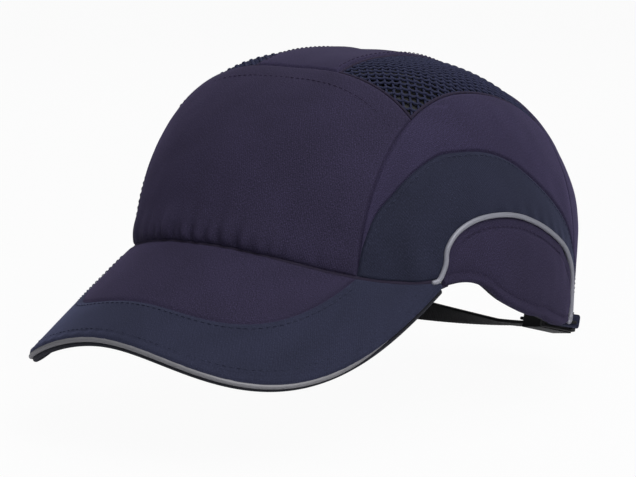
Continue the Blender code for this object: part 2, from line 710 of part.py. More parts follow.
def strap_frame(phi):
    """Centre of the strap at an angle, and its directions: along, across, outward."""
    radial = math.cos(phi) * rear_axis + math.sin(phi) * side_axis
    along = -math.sin(phi) * rear_axis + math.cos(phi) * side_axis
    turn = min(1.0, max(0.0, (-math.degrees(phi) - LEAN_START) / LEAN_RUN))
    lean = STRAP_LEAN + (STRAP_LEAN_R - STRAP_LEAN) * turn
    across = math.cos(lean) * up_axis - math.sin(lean) * radial
    out = math.sin(lean) * up_axis + math.cos(lean) * radial
    return STRAP_CENTRE + STRAP_R * radial, along, across, out


def ring(phi, half_w, low, high):
    centre, _, across, out = strap_frame(phi)
    return [centre + across * a + out * b
            for a, b in ((-half_w, low), (half_w, low), (half_w, high), (-half_w, high))]


def band(name, start, stop, rect, count, finish, hole=None, origin=DATUM):
    """A strip that follows the strap arc; with a hole it is a sleeve.

    rect and hole are (half width, low, high), the last two measured outward.
    """
    verts, faces = [], []
    for phi in np.radians(np.linspace(start, stop, count + 1)):
        verts += ring(phi, *rect)
        if hole:
            verts += ring(phi, *hole)
    per = 8 if hole else 4
    e = count * per
    for q in range(4):
        r = (q + 1) % 4
        for b in range(0, e, per):
            c = b + per
            faces.append((b + q, b + r, c + r, c + q))
            if hole:
                faces.append((b + 4 + r, b + 4 + q, c + 4 + q, c + 4 + r))
        if hole:
            faces.append((q, q + 4, r + 4, r))
            faces.append((e + r, e + r + 4, e + q + 4, e + q))
    if not hole:
        faces += [(3, 2, 1, 0), (e, e + 1, e + 2, e + 3)]
    recalc_normals(new_object(name, verts, faces, finish, origin))


def rear_strap():
    strap = (HALF_W, -HALF_T, HALF_T)
    band("strap_long", -60, 15.0, strap, 26, WEBBING)
    band("strap_short", 19.0, 60, strap, 14, WEBBING)
    band("strap_tail", 10.0, 41.0, (HALF_W, TAIL_LOW, TAIL_TOP), 12, WEBBING,
         origin=STRAP_CENTRE)
    band("tail_keeper", 36.0, 40.0, (HALF_W + 1.7, -HALF_T - 1.5, TAIL_TOP + 1.5), 3, WEBBING,
         hole=(HALF_W + 0.6, -HALF_T - 0.5, TAIL_TOP + 0.5), origin=STRAP_CENTRE)
    # the left anchor also has room for the tail
    for side, start, stop, top in (("right", -64, -52, HALF_T), ("left", 52, 64, TAIL_TOP)):
        hole_gap = 0.5
        wall = 1.7
        band(f"strap_anchor_{side}", start, stop, (HALF_W + wall, -HALF_T - wall, top + wall), 4,
             ANCHOR_CLOTH, hole=(HALF_W + hole_gap, -HALF_T - hole_gap, top + hole_gap))


# =============================================================================
# buckle
# =============================================================================
def buckle_matrix():
    centre, along, across, out = strap_frame(BUCKLE_AT)
    # across is reversed to make the frame right-handed
    rotation = Matrix(np.column_stack([along, -across, out]).tolist()).to_4x4()
    return Matrix.Translation(Vector((centre - DATUM) * MM)) @ rotation


def buckle_part(name, profile, axis, half_len, finish, origin=(0, 0, 0)):
    """A profile extruded both ways along an axis of the buckle frame."""
    k = len(profile)
    verts = [np.insert(point, axis, end) for end in (-half_len, half_len) for point in profile]
    faces = [(i, (i + 1) % k, k + (i + 1) % k, k + i) for i in range(k)]
    faces += [tuple(range(k))[::-1], tuple(range(k, 2 * k))]
    obj = new_object(name, verts, faces, finish, origin)
    obj.matrix_world = buckle_matrix() @ Matrix.Translation(Vector(np.asarray(origin) * MM))
    recalc_normals(obj)
    return obj


def pivot_circle(radius, n=14):
    angles = [2 * math.pi * i / n for i in range(n)]
    return [(PIVOT[0] + radius * math.cos(a), PIVOT[1] + radius * math.sin(a)) for a in angles]


def cut_bore(obj, bore):
    mod = obj.modifiers.new("pin_bore", "BOOLEAN")
    mod.operation = "DIFFERENCE"
    mod.solver = "EXACT"
    mod.object = bore


# channel section of the frame (y, z)
FRAME_PROFILE = [
    (-CHEEK_OUT, FLOOR_LOW), (CHEEK_OUT, FLOOR_LOW), (CHEEK_OUT, CHEEK_TOP),
    (CHEEK_IN, CHEEK_TOP), (CHEEK_IN, FLOOR_TOP), (-CHEEK_IN, FLOOR_TOP),
    (-CHEEK_IN, CHEEK_TOP), (-CHEEK_OUT, CHEEK_TOP)]
# lever: a plate with a cam nose round the pin (x, z)
LEVER_PROFILE = [
    (-7.35, 5.4), (-7.0, 4.1), (-5.9, 3.2), (-4.2, 3.15), (-3.0, 3.8), (2.0, 4.2), (9.6, 4.4),
    (10.6, 5.2), (10.4, 6.0), (3.0, 6.3), (-2.6, 7.3), (-5.0, 7.8), (-6.8, 7.0)]


def buckle():
    bore = buckle_part("pin_bore_cutter", pivot_circle(BORE_R), 1, CHEEK_OUT + 1.6, None)
    bore.display_type = "WIRE"
    bore.hide_render = True
    frame = buckle_part("buckle_frame", FRAME_PROFILE, 0, BUCKLE_HALF_LEN, FRAME_METAL)
    cut_bore(frame, bore)
    buckle_part("buckle_pin", pivot_circle(PIN_R), 1, CHEEK_OUT - 0.4, PIN_METAL)
    lever = buckle_part("buckle_lever", LEVER_PROFILE, 1, HALF_W + 0.5, LEVER_METAL,
                        origin=(PIVOT[0], 0, PIVOT[1]))
    cut_bore(lever, bore)


front_panel()
centre_strip()
paired_panels()
side_piping()
opening_binding()
peak_top()
peak_lower_layers()
peak_edge()
protective_shell()
sweatband()
foam_pads()
crown_pad()
rear_strap()
buckle()
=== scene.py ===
"""A cloth cap with a peak, drawn over a padded hard shell, with a buckled strap behind.

The peak points towards -Y, the wearer's left is +X and up is +Z. Lengths are in
millimetres, measured from the middle of the head opening, until make() moves them to
DATUM and turns them into metres. Angles are in degrees unless a name says otherwise.
"""
import math
from collections import namedtuple

import bmesh
import bpy
import numpy as np
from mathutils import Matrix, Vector, noise


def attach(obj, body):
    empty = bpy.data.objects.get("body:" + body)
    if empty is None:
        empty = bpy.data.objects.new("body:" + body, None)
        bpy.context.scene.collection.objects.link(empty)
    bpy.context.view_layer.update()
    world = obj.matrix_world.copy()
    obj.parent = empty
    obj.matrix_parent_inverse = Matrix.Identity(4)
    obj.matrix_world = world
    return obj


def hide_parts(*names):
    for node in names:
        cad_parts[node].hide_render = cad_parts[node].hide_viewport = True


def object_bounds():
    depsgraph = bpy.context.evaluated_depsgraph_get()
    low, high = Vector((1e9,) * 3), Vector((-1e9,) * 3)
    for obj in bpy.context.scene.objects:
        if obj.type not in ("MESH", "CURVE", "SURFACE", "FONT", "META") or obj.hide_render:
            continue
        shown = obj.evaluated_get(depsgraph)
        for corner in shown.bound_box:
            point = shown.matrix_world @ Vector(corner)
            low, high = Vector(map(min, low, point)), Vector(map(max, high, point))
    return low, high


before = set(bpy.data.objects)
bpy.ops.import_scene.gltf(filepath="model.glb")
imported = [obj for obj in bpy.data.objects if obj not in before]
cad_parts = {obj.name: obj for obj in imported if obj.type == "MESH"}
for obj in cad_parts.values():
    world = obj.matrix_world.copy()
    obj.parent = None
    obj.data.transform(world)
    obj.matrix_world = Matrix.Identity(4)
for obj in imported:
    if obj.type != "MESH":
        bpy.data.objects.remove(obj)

lo_cad, hi_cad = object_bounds()
MM = 0.001
DATUM = np.array([0.0, -14.0, 99.0])   # middle of the crown pad's underside: the final origin

# ---- crown: half of a squared ellipsoid over a straight wall ----------------
HALF_WIDTH = 87.0        # outside half width of the crown
FRONT_LEN = 92.0         # dome centre to forehead
BACK_LEN = 130.0         # dome centre to nape
DOME_H = 101.0           # dome height over its widest level
DOME_Y = -19.0           # dome centre, y
DOME_Z = 14.0            # widest level, z
PLAN_N = 1.9             # plan exponent
Q_FRONT, Q_SIDE, Q_BACK = 2.03, 2.89, 1.72   # profile exponents
NAPE_TUCK = 0.06         # how much the wall behind the ears leans in towards its lower edge
CORE = np.array([0.0, 0.0, 25.0])            # centre that points are cast from
CLOTH_T = 1.15           # crown cloth thickness

# ---- seams ------------------------------------------------------------------
SEAM_X = 60.5            # front panel / side arch seam, and outer mesh edge
STRIP_X = 22.0           # half width of the centre strip
TRANS_Y = -48.0          # seam across the crown behind the front panel
MESH_END_Y = 42.0        # rear end of the mesh vents

# ---- peak -------------------------------------------------------------------
PEAK_Z = 44.0            # peak / crown joint in the middle
PEAK_Y = -107.0
PEAK_SLOPE = 0.547       # rise per mm backward
PEAK_ARCH = 23.8         # drop of the arch at 60 mm from the middle
PEAK_ARCH_N = 2.08
PEAK_HALF_W = 81.6       # half width at the temples
PEAK_LEN = 109.0         # temples to the front edge
PEAK_N = 2.88
TEMPLE_Y = -53.0
PEAK_DROOP, PEAK_LIFT = 3.0, 0.9   # the right wing hangs and the left one stands
BAND_W, BAND_LEN, BAND_N = 61.2, 88.0, 3.0   # inner panel of the peak
PEAK_CLOTH_T = 0.85
UNDER_INSET = 1.6        # edge of the underside cloth, in from the peak's outline
UNDER_ROW_PITCH = 6.5    # between the stitched rows of the underside

# ---- hard shell and pads ----------------------------------------------------
SHELL_OFF, SHELL_T = -2.4, 2.0     # outer face below the dome, thickness
PAD_OFF = SHELL_OFF - SHELL_T - 1.6
PAD_T = 3.4

# ---- rear strap: an arc in a plane that falls towards the nape --------------
STRAP_R = 53.1
STRAP_FALL = math.radians(17.8)
STRAP_ROLL = math.radians(2.5)
STRAP_LEAN = math.radians(90.0)              # buckle side, lying flat
STRAP_LEAN_R = math.radians(40.5)            # fixed end on the right, more upright
STRAP_O = np.array([0.0, 51.0, -1.4])
STRAP_T = 1.4
HALF_W, HALF_T = 12.0 / 2, STRAP_T / 2
TAIL_LOW = HALF_T + 0.4                      # the tail lies just outside the strap
TAIL_TOP = TAIL_LOW + STRAP_T

# =============================================================================
# surfaces
# =============================================================================


def smooth(value, start, end):
    """0 to 1 between start and end, easing at both."""
    fraction = np.clip((value - start) / (end - start), 0, 1)
    return fraction * fraction * (3 - 2 * fraction)


def bell(value, width):
    return np.exp(-(value / width) ** 2)


def unit(vectors, guard=0.0):
    return vectors / (np.linalg.norm(vectors, axis=-1, keepdims=True) + guard)


def dome_value(points):
    """Below zero inside the dome, above zero outside."""
    points = np.asarray(points, float)
    x, y, z = points[..., 0], points[..., 1], points[..., 2]
    tuck = 1 + NAPE_TUCK * smooth(y, 30.0, 75.0) * np.clip((52.0 - z) / 52.0, 0, 1.2) ** 1.3
    x = x * tuck
    y = (y - DOME_Y) * tuck
    depth = np.where(y < 0, FRONT_LEN, BACK_LEN)
    plan = (np.abs(x / HALF_WIDTH) ** PLAN_N + np.abs(y / depth) ** PLAN_N) ** (1 / PLAN_N)
    endwise = (y / depth) ** 2 / ((y / depth) ** 2 + (x / HALF_WIDTH) ** 2 + 1e-9)
    power = Q_SIDE * (1 - endwise) + np.where(y < 0, Q_FRONT, Q_BACK) * endwise
    height = np.maximum(z - DOME_Z, 0) / DOME_H
    return np.where(height > 0, (plan ** power + height ** power) ** (1 / power) - 1, plan - 1)


def cast(origin, direction):
    """Where the ray from origin along direction leaves the dome."""
    direction = unit(np.asarray(direction, float))
    near = np.zeros(direction.shape[:-1])
    far = np.full(direction.shape[:-1], 260.0)
    for _ in range(44):
        middle = (near + far) / 2
        outside = dome_value(origin + direction * middle[..., None]) > 0
        far = np.where(outside, middle, far)
        near = np.where(outside, near, middle)
    return origin + direction * near[..., None]


def normal(points):
    step = 0.4 * np.eye(3)
    return unit(np.stack([dome_value(points + step[i]) - dome_value(points - step[i])
                          for i in range(3)], -1), 1e-12)


def snap(points, offset=0.0):
    """Points moved onto the dome along rays from CORE, then out by offset."""
    on_dome = cast(CORE, np.asarray(points, float) - CORE)
    return on_dome + normal(on_dome) * offset if offset else on_dome


def dome_above(x, y):
    """Points of the dome straight over x, y."""
    return cast(np.stack([x, y, 0 * x + 40.0], -1), np.stack([0 * x, 0 * x, 0 * x + 1], -1))


def dome_section(x, start, end, count=60):
    """The dome's outline in the plane x, between two angles; 0 is the rear, 90 the top."""
    angle = np.radians(np.linspace(start, end, count))
    return cast(np.array([x, 0.0, CORE[2]]),
                np.stack([0 * angle, np.cos(angle), np.sin(angle)], -1))


def section_angle(x, low, high, is_before):
    """Angle of the outline in the plane x at which is_before(point) stops being true."""
    for _ in range(44):
        middle = (low + high) / 2
        if is_before(dome_section(x, middle, middle, 1)[0]):
            low = middle
        else:
            high = middle
    return (low + high) / 2


def angle_at_y(x, y):
    return section_angle(x, 3.0, 177.0, lambda point: point[1] > y)


def cross_seam(y, stations):
    """Points of the dome at one y, at each x of stations."""
    angles = [angle_at_y(x, y) for x in stations]
    return np.array([dome_section(x, angle, angle, 1)[0] for x, angle in zip(stations, angles)])


def peak_height(x, y):
    ahead = np.clip(-y - 6.0 - 107.0 * np.sqrt(np.clip(1 - (x / 90.0) ** 2, 0, 1)), 0, None)
    wing = (np.abs(x) / 60.0) ** 1.5 * (ahead / 54.0) ** 1.5
    return (PEAK_Z + PEAK_SLOPE * (y - PEAK_Y) - PEAK_ARCH * np.abs(x / 60.0) ** PEAK_ARCH_N
            + np.where(x < 0, -PEAK_DROOP, PEAK_LIFT) * wing)


def peak_normal(plan):
    x, y = plan[..., 0], plan[..., 1]
    step = 0.25
    return unit(np.stack([
        (peak_height(x - step, y) - peak_height(x + step, y)) / (2 * step),
        (peak_height(x, y - step) - peak_height(x, y + step)) / (2 * step),
        0 * x + 1], -1))


def peak_point(plan, offset=0.0):
    """Points of the peak surface, moved by offset along its upward normal."""
    x, y = plan[..., 0], plan[..., 1]
    return np.stack([x, y, peak_height(x, y)], -1) + peak_normal(plan) * offset


def joint_curve(x):
    """Line where the peak meets the crown."""
    def front_y(z):
        forward = np.tile(np.array([0.0, -1.0, 0.0]), (len(x), 1))
        return cast(np.stack([x, 0 * x - 15.0, z], -1), forward)[:, 1]

    z = PEAK_Z - 9.2 * np.abs(x / 58.0) ** 1.5
    for _ in range(16):
        z = 0.5 * z + 0.5 * peak_height(x, front_y(z))
    return np.stack([x, front_y(z), z], -1)


# =============================================================================
# curves
# =============================================================================


def spline(points, count=12):
    """Catmull-Rom curve through the points, count steps to each span."""
    points = np.asarray(points, float)
    points = np.vstack([2 * points[0] - points[1], points, 2 * points[-1] - points[-2]])
    t = np.linspace(0, 1, count, endpoint=False)[:, None]
    spans = []
    for i in range(1, len(points) - 2):
        before, start, end, after = points[i - 1:i + 3]
        spans.append(0.5 * (2 * start + (end - before) * t
                            + (2 * before - 5 * start + 4 * end - after) * t ** 2
                            + (3 * start - before - 3 * end + after) * t ** 3))
    return np.vstack(spans + [points[-2][None]])


def lengths_along(curve):
    return np.r_[0, np.cumsum(np.linalg.norm(np.diff(curve, axis=0), axis=1))]


def along(curve, fractions):
    """Points at length fractions of a polyline."""
    travelled = lengths_along(curve)
    wanted = np.asarray(fractions, float) * travelled[-1]
    return np.stack([np.interp(wanted, travelled, curve[:, i]) for i in range(3)], -1)


def edge_points(edge, fractions):
    """Like along(), where edge may also be a list of (curve, share of the fractions)."""
    if isinstance(edge, np.ndarray):
        return along(edge, fractions)
    fractions = np.asarray(fractions, float)
    stops = np.cumsum([0] + [share for _, share in edge])
    points = np.zeros(fractions.shape + (3,))
    for (curve, share), start, end in zip(edge, stops, stops[1:]):
        inside = (fractions >= start - 1e-9) & (fractions <= end + 1e-9)
        points[inside] = along(curve, (fractions[inside] - start) / share)
    return points


def coons(bottom, top, left, right, across, upward):
    """A Coons patch between four edges, at two lists of fractions."""
    u = across[:, None, None]
    v = upward[None, :, None]
    corners = np.array([0.0, 1.0])
    start_low, end_low = edge_points(bottom, corners)
    start_high, end_high = edge_points(top, corners)
    return ((1 - v) * edge_points(bottom, across)[:, None]
            + v * edge_points(top, across)[:, None]
            + (1 - u) * edge_points(left, upward)[None] + u * edge_points(right, upward)[None]
            - ((1 - u) * (1 - v) * start_low + u * (1 - v) * end_low
               + (1 - u) * v * start_high + u * v * end_high))


def even(count):
    return np.linspace(0, 1, count)


def eased(count):
    """0 to 1 with smaller steps near both ends."""
    return 0.45 * even(count) + 0.55 * (0.5 - 0.5 * np.cos(math.pi * even(count)))


def ruled(first, second, count):
    """A grid of straight lines from the points of first to those of second."""
    return first[:, None] + (second - first)[:, None] * eased(count)[:, None]


def mirror(points):
    return points * np.array([-1.0, 1.0, 1.0])


def relax(curve):
    """Smooth a curve in place; its ends stay."""
    for _ in range(10):
        curve[1:-1] = 0.25 * curve[:-2] + 0.5 * curve[1:-1] + 0.25 * curve[2:]


def split_near(curve, point):
    """Index of the curve's nearest point."""
    return np.argmin(np.linalg.norm(curve - point, axis=1))


def superellipse(half_width, length, power):
    """A half outline in plan, from the left temple round the front to the right one."""
    angle = np.linspace(0, math.pi, 321)
    cosine, sine = np.cos(angle), np.sin(angle)
    return np.stack([half_width * np.sign(cosine) * np.abs(cosine) ** (2 / power),
                     TEMPLE_Y - length * np.abs(sine) ** (2 / power), 0 * angle], -1)


def peak_outline(inset):
    return superellipse(PEAK_HALF_W - inset, PEAK_LEN - inset, PEAK_N)


def flat(curve):
    return curve * np.array([1.0, 1.0, 0.0])


# ---- the seams of the left half --------------------------------------------
joint = joint_curve(np.linspace(-79.3, 79.3, 161))
front_corner = joint_curve(np.array([SEAM_X]))[0]
joint_mid = joint_curve(np.linspace(-SEAM_X, SEAM_X, 81))
joint_side = joint_curve(np.linspace(79.3, SEAM_X, 30))        # temple to front corner

mesh_start_angle = angle_at_y(SEAM_X, TRANS_Y)
front_angle = section_angle(SEAM_X, mesh_start_angle, 176.0,
                            lambda point: point[2] > front_corner[2])
seam_front = dome_section(SEAM_X, front_angle, mesh_start_angle)
seam_front[0] = front_corner
mesh_outer = dome_section(SEAM_X, mesh_start_angle, angle_at_y(SEAM_X, MESH_END_Y))
mesh_corner = mesh_outer[-1]                                   # rear, outer
trans = cross_seam(TRANS_Y, np.linspace(-SEAM_X, SEAM_X, 41))
mesh_end = cross_seam(MESH_END_Y, np.linspace(STRIP_X, SEAM_X, 15))

# Rear opening, from its lower left end to the middle: x, y, z
OPENING_HALF = [(60, 72, -6), (57, 78, 10), (48, 87, 25), (36, 93, 35), (STRIP_X, 98, 41),
                (0, 102, 44)]
opening = snap(spline(OPENING_HALF + [(-x, y, z) for x, y, z in OPENING_HALF[-2::-1]]))
strip_end = np.argmin(np.abs(opening[:, 0] - STRIP_X))
opening_corner = opening[strip_end]
opening_left = opening[:strip_end + 1]
opening_angle = math.degrees(math.atan2(opening_corner[2] - CORE[2], opening_corner[1]))
strip_edge = dome_section(STRIP_X, angle_at_y(STRIP_X, TRANS_Y), opening_angle)
strip_edge[-1] = opening_corner
mesh_inner = dome_section(STRIP_X, angle_at_y(STRIP_X, TRANS_Y),
                          angle_at_y(STRIP_X, MESH_END_Y))

# Seam lines along the side, front to rear: x, y, z
SIDE_CORNER = (73, 47, 30)       # side arch, rear panel and side panel meet here
side_top = snap(spline([
    front_corner, (61, -80, 43), (62, -77, 51), (63, -73, 58), (66, -67, 65), (69, -58, 73),
    (72, -46, 79), (75, -36, 80), (78, -22, 79), (79, -8, 74), (80, 9, 64), (79, 24, 54),
    (76, 37, 43), SIDE_CORNER, (69, 57, 16), (60, 72, -6)]))
lobe_top = snap(spline([
    joint_side[0] + (0, 0, 0.3), (80, -51, 37), (80, -50, 43), (81, -45, 49), (83, -36, 53),
    (85, -24, 54), (85, -10, 52), (84, 5, 47), (82, 18, 41), (79, 30, 34), (77, 38, 26),
    (76, 42, 18), (76, 42, 10), (76, 41, 3)]))
lobe_low = snap(spline([
    (80, -53, 28), (83, -44, 29), (85, -37, 28), (86, -30, 25), (87, -21.5, 19),
    (87, -10, 13.5), (86, 0, 10), (85, 8, 8), (83, 18, 4), (80, 29, 1), (77, 38, 1)]))
corner_index = split_near(side_top, snap(SIDE_CORNER))
side_corner = side_top[corner_index]
side_top_front, side_top_rear = side_top[:corner_index + 1], side_top[corner_index:]

# =============================================================================
# mesh helpers
# =============================================================================


def scatter(index, seed):
    """A fixed pseudo-random number in 0..1 for an index."""
    value = math.sin(index * 12.9898 + seed * 78.233 + 4.1) * 43758.5453
    return value - math.floor(value)


def wobble(points, scale, seed):
    """Smooth noise at points, about -1 to 1."""
    values = [noise.noise(Vector((x / scale + seed, y / scale - seed, z / scale)))
              for x, y, z in points.reshape(-1, 3)]
    return np.array(values).reshape(points.shape[:-1]) * 1.6


def make(name, verts, faces, material, replaces=None, uv=None, body="cap", recalculate=True):
    mesh = bpy.data.meshes.new(name)
    mesh.from_pydata([tuple((np.asarray(vert) - DATUM) * MM) for vert in verts], [],
                     [tuple(int(i) for i in face) for face in faces])
    mesh.update()
    if uv is not None:
        layer = mesh.uv_layers.new(name="weave")
        corner_verts = np.zeros(len(mesh.loops), np.int32)
        mesh.loops.foreach_get("vertex_index", corner_verts)
        layer.data.foreach_set("uv", np.asarray(uv, np.float32)[corner_verts].ravel())
    mesh.polygons.foreach_set("use_smooth", [True] * len(mesh.polygons))
    ob = bpy.data.objects.new(name, mesh)
    bpy.context.scene.collection.objects.link(ob)
    mesh.materials.append(material)
    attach(ob, body)
    if replaces:
        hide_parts(replaces)
    if recalculate:
        work = bmesh.new()
        work.from_mesh(mesh)
        bmesh.ops.recalc_face_normals(work, faces=work.faces)
        work.to_mesh(mesh)
        work.free()
    return ob


def closed_sheet(name, outer, inner, material, coords=None, ring=False, replaces=None):
    """A closed skin from two grids of points; ring joins the last row to the first."""
    rows, columns = outer.shape[:2]
    size = rows * columns
    faces = []
    spans = [(i * columns, (i + 1) % rows * columns) for i in range(rows if ring else rows - 1)]
    for here, following in spans:
        for j in range(columns - 1):
            quad = (here + j, following + j, following + j + 1, here + j + 1)
            faces.append(quad)
            faces.append(tuple(size + corner for corner in quad[::-1]))
    last = columns - 1
    for here, following in spans:
        faces.append((following, here, size + here, size + following))
        faces.append((here + last, following + last, size + following + last,
                      size + here + last))
    if not ring:
        for j in range(columns - 1):
            faces.append((j, j + 1, size + j + 1, size + j))
            end = (rows - 1) * columns + j
            faces.append((end + 1, end, size + end, size + end + 1))
    uv = None
    if coords is not None:
        uv = np.vstack([coords.reshape(-1, 2)] * 2)
    return make(name, np.vstack([outer.reshape(-1, 3), inner.reshape(-1, 3)]), faces, material,
                replaces, uv)


Edges = namedtuple("Edges", "start end low high")


def cloth_lengths(grid):
    """Lengths along the rows and columns of a grid, and distances to its four edges."""
    row_steps = np.linalg.norm(np.diff(grid, axis=0), axis=-1)
    column_steps = np.linalg.norm(np.diff(grid, axis=1), axis=-1)
    run = np.vstack([np.zeros((1, grid.shape[1])), np.cumsum(row_steps, 0)])
    rise = np.hstack([np.zeros((grid.shape[0], 1)), np.cumsum(column_steps, 1)])
    run = run - run.mean(0, keepdims=True)
    return run, rise, Edges(run - run[:1], run[-1:] - run, rise, rise[:, -1:] - rise)


def seam_dip(distance, depth=1.0, width=0.75, puff=0.30, reach=4.0):
    """Height of sewn cloth at a distance from its seam."""
    return puff * (1 - np.exp(-distance / reach)) - depth * bell(distance, width)


def loft_faces(rings, sides, start=0):
    """Faces of a tube of rings with flat ends."""
    faces = []
    for i in range(rings - 1):
        for j in range(sides):
            first = start + i * sides + j
            second = start + i * sides + (j + 1) % sides
            faces.append((first, second, second + sides, first + sides))
    last = start + (rings - 1) * sides
    faces.append(tuple(range(start, start + sides))[::-1])
    faces.append(tuple(range(last, last + sides)))
    return faces


def swept_profile(name, rows, material, uv, replaces):
    """A closed profile carried along a curve; rows holds one profile for each station."""
    count, size = rows.shape[:2]
    faces = [(i * size + j, (i + 1) * size + j, (i + 1) * size + (j + 1) % size,
              i * size + (j + 1) % size)
             for i in range(count - 1) for j in range(size)]
    faces.append(tuple(range(size)))
    faces.append(tuple((count - 1) * size + j for j in range(size))[::-1])
    return make(name, rows.reshape(-1, 3), faces, material, replaces, uv)


def ring_points(centre, first, second, sides):
    """An ellipse of points round centre, with two half axes."""
    angle = 2 * math.pi * np.arange(sides)[:, None] / sides
    return centre + np.cos(angle) * first + np.sin(angle) * second


def tube(name, points, radius, material, sides=12, replaces=None):
    """A round-ended tube; radius is one number, or one for each point."""
    single = np.isscalar(radius)
    radii = np.full(len(points), radius) if single else radius
    tangents = unit(np.gradient(points, axis=0))
    reach, shrink = np.array([0.95, 0.8, 0.45]), np.array([0.3, 0.62, 0.9])   # rounded ends
    points = np.vstack([points[0] - tangents[0] * radii[0] * reach[:, None], points,
                        points[-1] + tangents[-1] * radii[-1] * reach[::-1, None]])
    radii = np.r_[radii[0] * shrink, radii, radii[-1] * shrink[::-1]]
    tangents = np.vstack([[tangents[0]] * 3, tangents, [tangents[-1]] * 3])
    upright = abs(tangents[0, 2]) >= 0.8
    side = unit(np.cross(tangents[0], [0.0, 1.0, 0.0] if upright else [0.0, 0.0, 1.0]))
    verts, uv = [], []
    for point, tangent, size, travelled in zip(points, tangents, radii, lengths_along(points)):
        side = unit(side - tangent * np.dot(side, tangent))
        verts.extend(ring_points(point, size * side, size * np.cross(tangent, side), sides))
        for k in range(sides):
            angle = 2 * math.pi * k / sides
            uv.append((travelled, radius * angle if single else angle))
    return make(name, verts, loft_faces(len(points), sides), material, replaces, uv,
                recalculate=False)


def stitches(name, runs, material, pitch=2.8, size=1.9):
    """Rows of stitches: small closed thread humps along each (points, normals) run."""
    radius, sides = 0.19, 6
    stations = (-1.0, -0.72, -0.25, 0.25, 0.72, 1.0)     # from end to end of one stitch
    verts, faces = [], []
    for points, normals in runs:
        total = lengths_along(points)[-1]
        count = max(2, int(total / pitch))
        places = (np.arange(count) + 0.5) / count
        reach = 0.3 * size / total
        behind = along(points, np.clip(places - reach, 0, 1))
        ahead = along(points, np.clip(places + reach, 0, 1))
        tangents = unit(ahead - behind, 1e-9)
        for centre, tangent, up in zip(along(points, places), tangents,
                                       along(normals, places)):
            up = unit(up - tangent * np.dot(up, tangent), 1e-9)
            across = np.cross(tangent, up)
            faces += loft_faces(len(stations), sides, len(verts))
            for station in stations:
                girth = radius * math.sqrt(max(0.06, 1 - station * station * 0.92))
                lift = 0.16 * (1 - station * station) - 0.10
                middle = centre + tangent * (station * size / 2) + up * lift
                verts.extend(ring_points(middle, across * girth, up * girth, sides))
    return make(name, verts, faces, material)


# =============================================================================
# materials
# =============================================================================


def srgb(*channels):
    """A linear colour from 0..255 sRGB channels."""
    linear = [channel / 255 / 12.92 if channel <= 10 else ((channel / 255 + 0.055) / 1.055) ** 2.4
              for channel in channels]
    return (*linear, 1.0)


def scaled(colour, factor):
    return (colour[0] * factor, colour[1] * factor, colour[2] * factor, 1.0)


def grey(level):
    return (level, level, level, 1)


class Shader:
    """A node material; most of its methods add a node and return its output."""

    def __init__(self, name):
        self.material = bpy.data.materials.new(name)
        self.material.use_nodes = True
        self.tree = self.material.node_tree
        self.principled = self.tree.nodes["Principled BSDF"]

    def feed(self, socket, value):
        if isinstance(value, bpy.types.NodeSocket):
            self.tree.links.new(value, socket)
        else:
            socket.default_value = value

    def node(self, kind, inputs=None, **settings):
        node = self.tree.nodes.new(kind)
        for key, value in settings.items():
            setattr(node, key, value)
        for key, value in (inputs or {}).items():
            self.feed(node.inputs[key], value)
        return node

    def surface(self, inputs):
        for key, value in inputs.items():
            self.feed(self.principled.inputs[key], value)
        return self.material

    def coords(self, space="uv"):
        """Millimetre coordinates: the weave map, or the object's own space."""
        if space == "uv":
            return self.node("ShaderNodeUVMap", uv_map="weave").outputs[0]
        place = self.node("ShaderNodeTexCoord").outputs["Object"]
        return self.node("ShaderNodeVectorMath", {"Scale": 1000.0, 0: place},
                         operation="SCALE").outputs[0]

    def mapping(self, place, scale=(1, 1, 1), rotation=(0, 0, 0)):
        return self.node("ShaderNodeMapping",
                         {"Scale": scale, "Rotation": rotation, "Vector": place}).outputs[0]

    def noise(self, place, scale, detail=2.0, roughness=0.5):
        return self.node("ShaderNodeTexNoise",
                         {"Scale": scale, "Detail": detail, "Roughness": roughness,
                          "Vector": place}).outputs["Fac"]

    def wave(self, place, scale, direction, distortion):
        return self.node("ShaderNodeTexWave",
                         {"Scale": scale, "Distortion": distortion, "Detail": 1.0,
                          "Vector": place}, bands_direction=direction).outputs["Fac"]

    def cells(self, place, scale):
        return self.node("ShaderNodeTexVoronoi",
                         {"Scale": scale, "Vector": place}).outputs["Distance"]

    def math(self, operation, first, second, clamp=False):
        return self.node("ShaderNodeMath", {0: first, 1: second}, operation=operation,
                         use_clamp=clamp).outputs[0]

    def add(self, first, second):
        return self.math("ADD", first, second)

    def times(self, first, factor):
        return self.math("MULTIPLY", first, factor)

    def ramp(self, factor, stops):
        node = self.node("ShaderNodeValToRGB", {0: factor})
        elements = node.color_ramp.elements
        while len(elements) < len(stops):
            elements.new(0.5)
        for element, (position, colour) in zip(elements, stops):
            element.position = position
            element.color = colour
        return node.outputs[0]

    def mix(self, factor, first, second, blend="MIX"):
        return self.node("ShaderNodeMix", {0: factor, 6: first, 7: second},
                         data_type="RGBA", blend_type=blend).outputs[2]

    def bump(self, height, strength, distance):
        return self.node("ShaderNodeBump", {"Strength": strength, "Distance": distance,
                                            "Height": height}).outputs[0]


